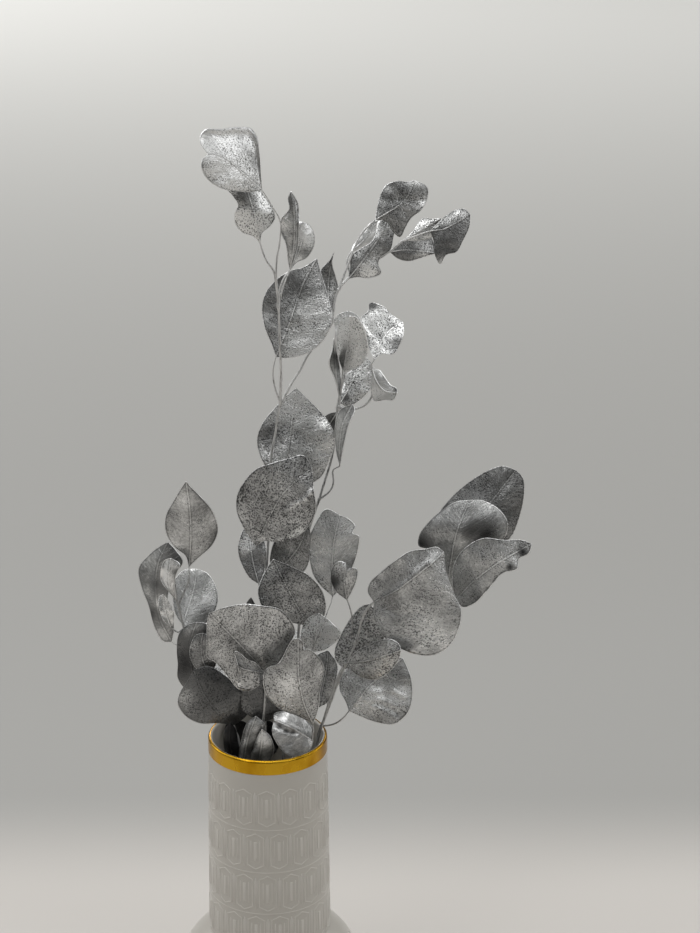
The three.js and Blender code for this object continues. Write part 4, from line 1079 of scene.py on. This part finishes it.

# %% [markdown]
# ## Front sprig
# A three-lobed leaf above the rim and a bright curled one that lies in the mouth, with three nearly
# black ones deep behind it, which are painted shade for the dark inside of the mouth.

# %% Front sprig
make_branch("front_sprig_dressed", "front_sprig", foot=rise(14, -12, (22, -13, 140)),
            stem="310,752,-16 312,740,-16 313,730,-17",
            leaves=[
    Leaf("sprig_lobed", "313,724,-18 304,704,-28 299,678,-37 298,638,-40",
         "298,716 280,709 267,696 263,681 266,669 279,663 286,650 292,640",
         "318,710 320,692 324,667 316,654 308,649 304,650 303,642",
         (-1, 5), "313,732,-17", tone=0.86, rib=0.25, specks=0.45, painted_light_spots="286,684,13,0.5"),
    Leaf("mouth_bright", "313,741,-16 304,735,-19 290,727,-22 274,720,-21",
         "313,728 305,719 294,713 282,711 274,714", "309,752 299,757 286,754 276,742 272,732",
         (10, -7), "312,748,-16", tone=1.1, rib=0.4, specks=0.15,
         creases=[("273,722 285,731 296,733", 2.5, -0.9)],
         painted_light_spots="279,727,3,-0.7 286,731,3,-0.8 293,732,3,-0.7 312,726,6,-0.3"),
    # These three leaves are painted shade: nearly black, to darken the inside of the mouth.
    Leaf("mouth_shade_left", "239,757,20 237,738,23 235,721,25",
         "229,750 224,736 228,722", "250,750 252,736 245,722",
         (-5, -2), "250,764,8", small=True, tone=0.12),
    Leaf("mouth_shade_middle", "263,760,24 263,740,29 262,720,32",
         "250,752 246,736 252,722", "276,752 279,736 272,722",
         (-2, -2), "266,768,10", small=True, tone=0.07),
    Leaf("mouth_shade_right", "292,757,20 294,738,23 296,722,25",
         "281,750 277,736 285,722", "304,750 309,736 304,723",
         (-2, -5), "284,764,8", small=True, tone=0.06)])

# %% [markdown]
# ## Floor and light
# The photograph is lit softly from above, so the table is pale and upright faces are a little darker.
# A wide floor, one large lamp overhead and weaker ones at the sides give that. The floor's colour is
# painted darker behind the vase, a painted shade, and pale again far away, a painted light, where two
# more lamps light it as well. The floor isn't part of the object, so it is staged.

# %% Floor
FLOOR_NEAR, FLOOR_PAINTED_SHADE = (0.565, 0.54, 0.51, 1), (0.355, 0.35, 0.336, 1)
FLOOR_PAINTED_LIGHT = (0.67, 0.665, 0.64, 1)

bpy.ops.object.select_all(action="DESELECT")
bpy.ops.mesh.primitive_plane_add(size=24)
floor = bpy.context.object
floor.name = "floor"
paper, tree, surface = new_material("floor_paper")
back = part(tree, place_in(tree), "Y")
# Painted shade in a band behind the vase, and painted light on the far floor.
near = blend(tree, ramp(tree, back, 0.18, 0.36), FLOOR_NEAR, FLOOR_PAINTED_SHADE)
far = blend(tree, ramp(tree, back, 0.7, 3.4), near, FLOOR_PAINTED_LIGHT)
tree.links.new(far, surface.inputs["Base Color"])
surface.inputs["Roughness"].default_value = 0.8
floor.data.materials.append(paper)
print("floor:", [round(v) for v in floor.dimensions], "m")

# %% Light
OBJECT_MIDDLE = (0, 0, 0.35)
ROOM_DARK, ROOM_PALE = (0.04, 0.04, 0.04, 1), (0.60, 0.60, 0.59, 1)
ROOM_SEEN = (0.40, 0.40, 0.39, 1)

# name, place, size in m, power in W, the point it shines at
for name, place, size, power, aim in (
        ("lamp_above", (-0.2, 0.1, 2.2), 1.5, 19, OBJECT_MIDDLE),
        ("lamp_left", (-1.7, 0.7, 1.1), 1.3, 7, OBJECT_MIDDLE),
        ("lamp_right", (1.7, 0.6, 1.0), 1.3, 7, OBJECT_MIDDLE),
        ("lamp_glint_left", (-1.1, -1.3, 1.5), 0.5, 2.6, OBJECT_MIDDLE),
        ("lamp_glint_right", (1.2, -1.0, 1.9), 0.5, 2.6, OBJECT_MIDDLE),
        ("lamp_far", (-1.2, 4.0, 1.9), 1.2, 38, (-1.0, 4.0, 0)),
        ("lamp_far_right", (1.6, 3.2, 1.9), 1.2, 11, (1.3, 3.2, 0))):
    bpy.ops.object.light_add(type="AREA", location=place)
    lamp = bpy.context.object
    lamp.name = name
    lamp.data.size = size
    lamp.data.energy = power
    lamp.rotation_euler = (Vector(aim) - Vector(place)).to_track_quat("-Z", "Y").to_euler()
world = bpy.data.worlds.new("studio")
world.use_nodes = True
tree = world.node_tree
up = ramp(tree, part(tree, place_in(tree, "Generated"), "Z"), 0.1, 0.85)
seen_by_camera = add_node(tree, "LightPath").outputs["Is Camera Ray"]
room = blend(tree, seen_by_camera, blend(tree, up, ROOM_DARK, ROOM_PALE), ROOM_SEEN)
tree.links.new(room, tree.nodes["Background"].inputs["Color"])
bpy.context.scene.world = world
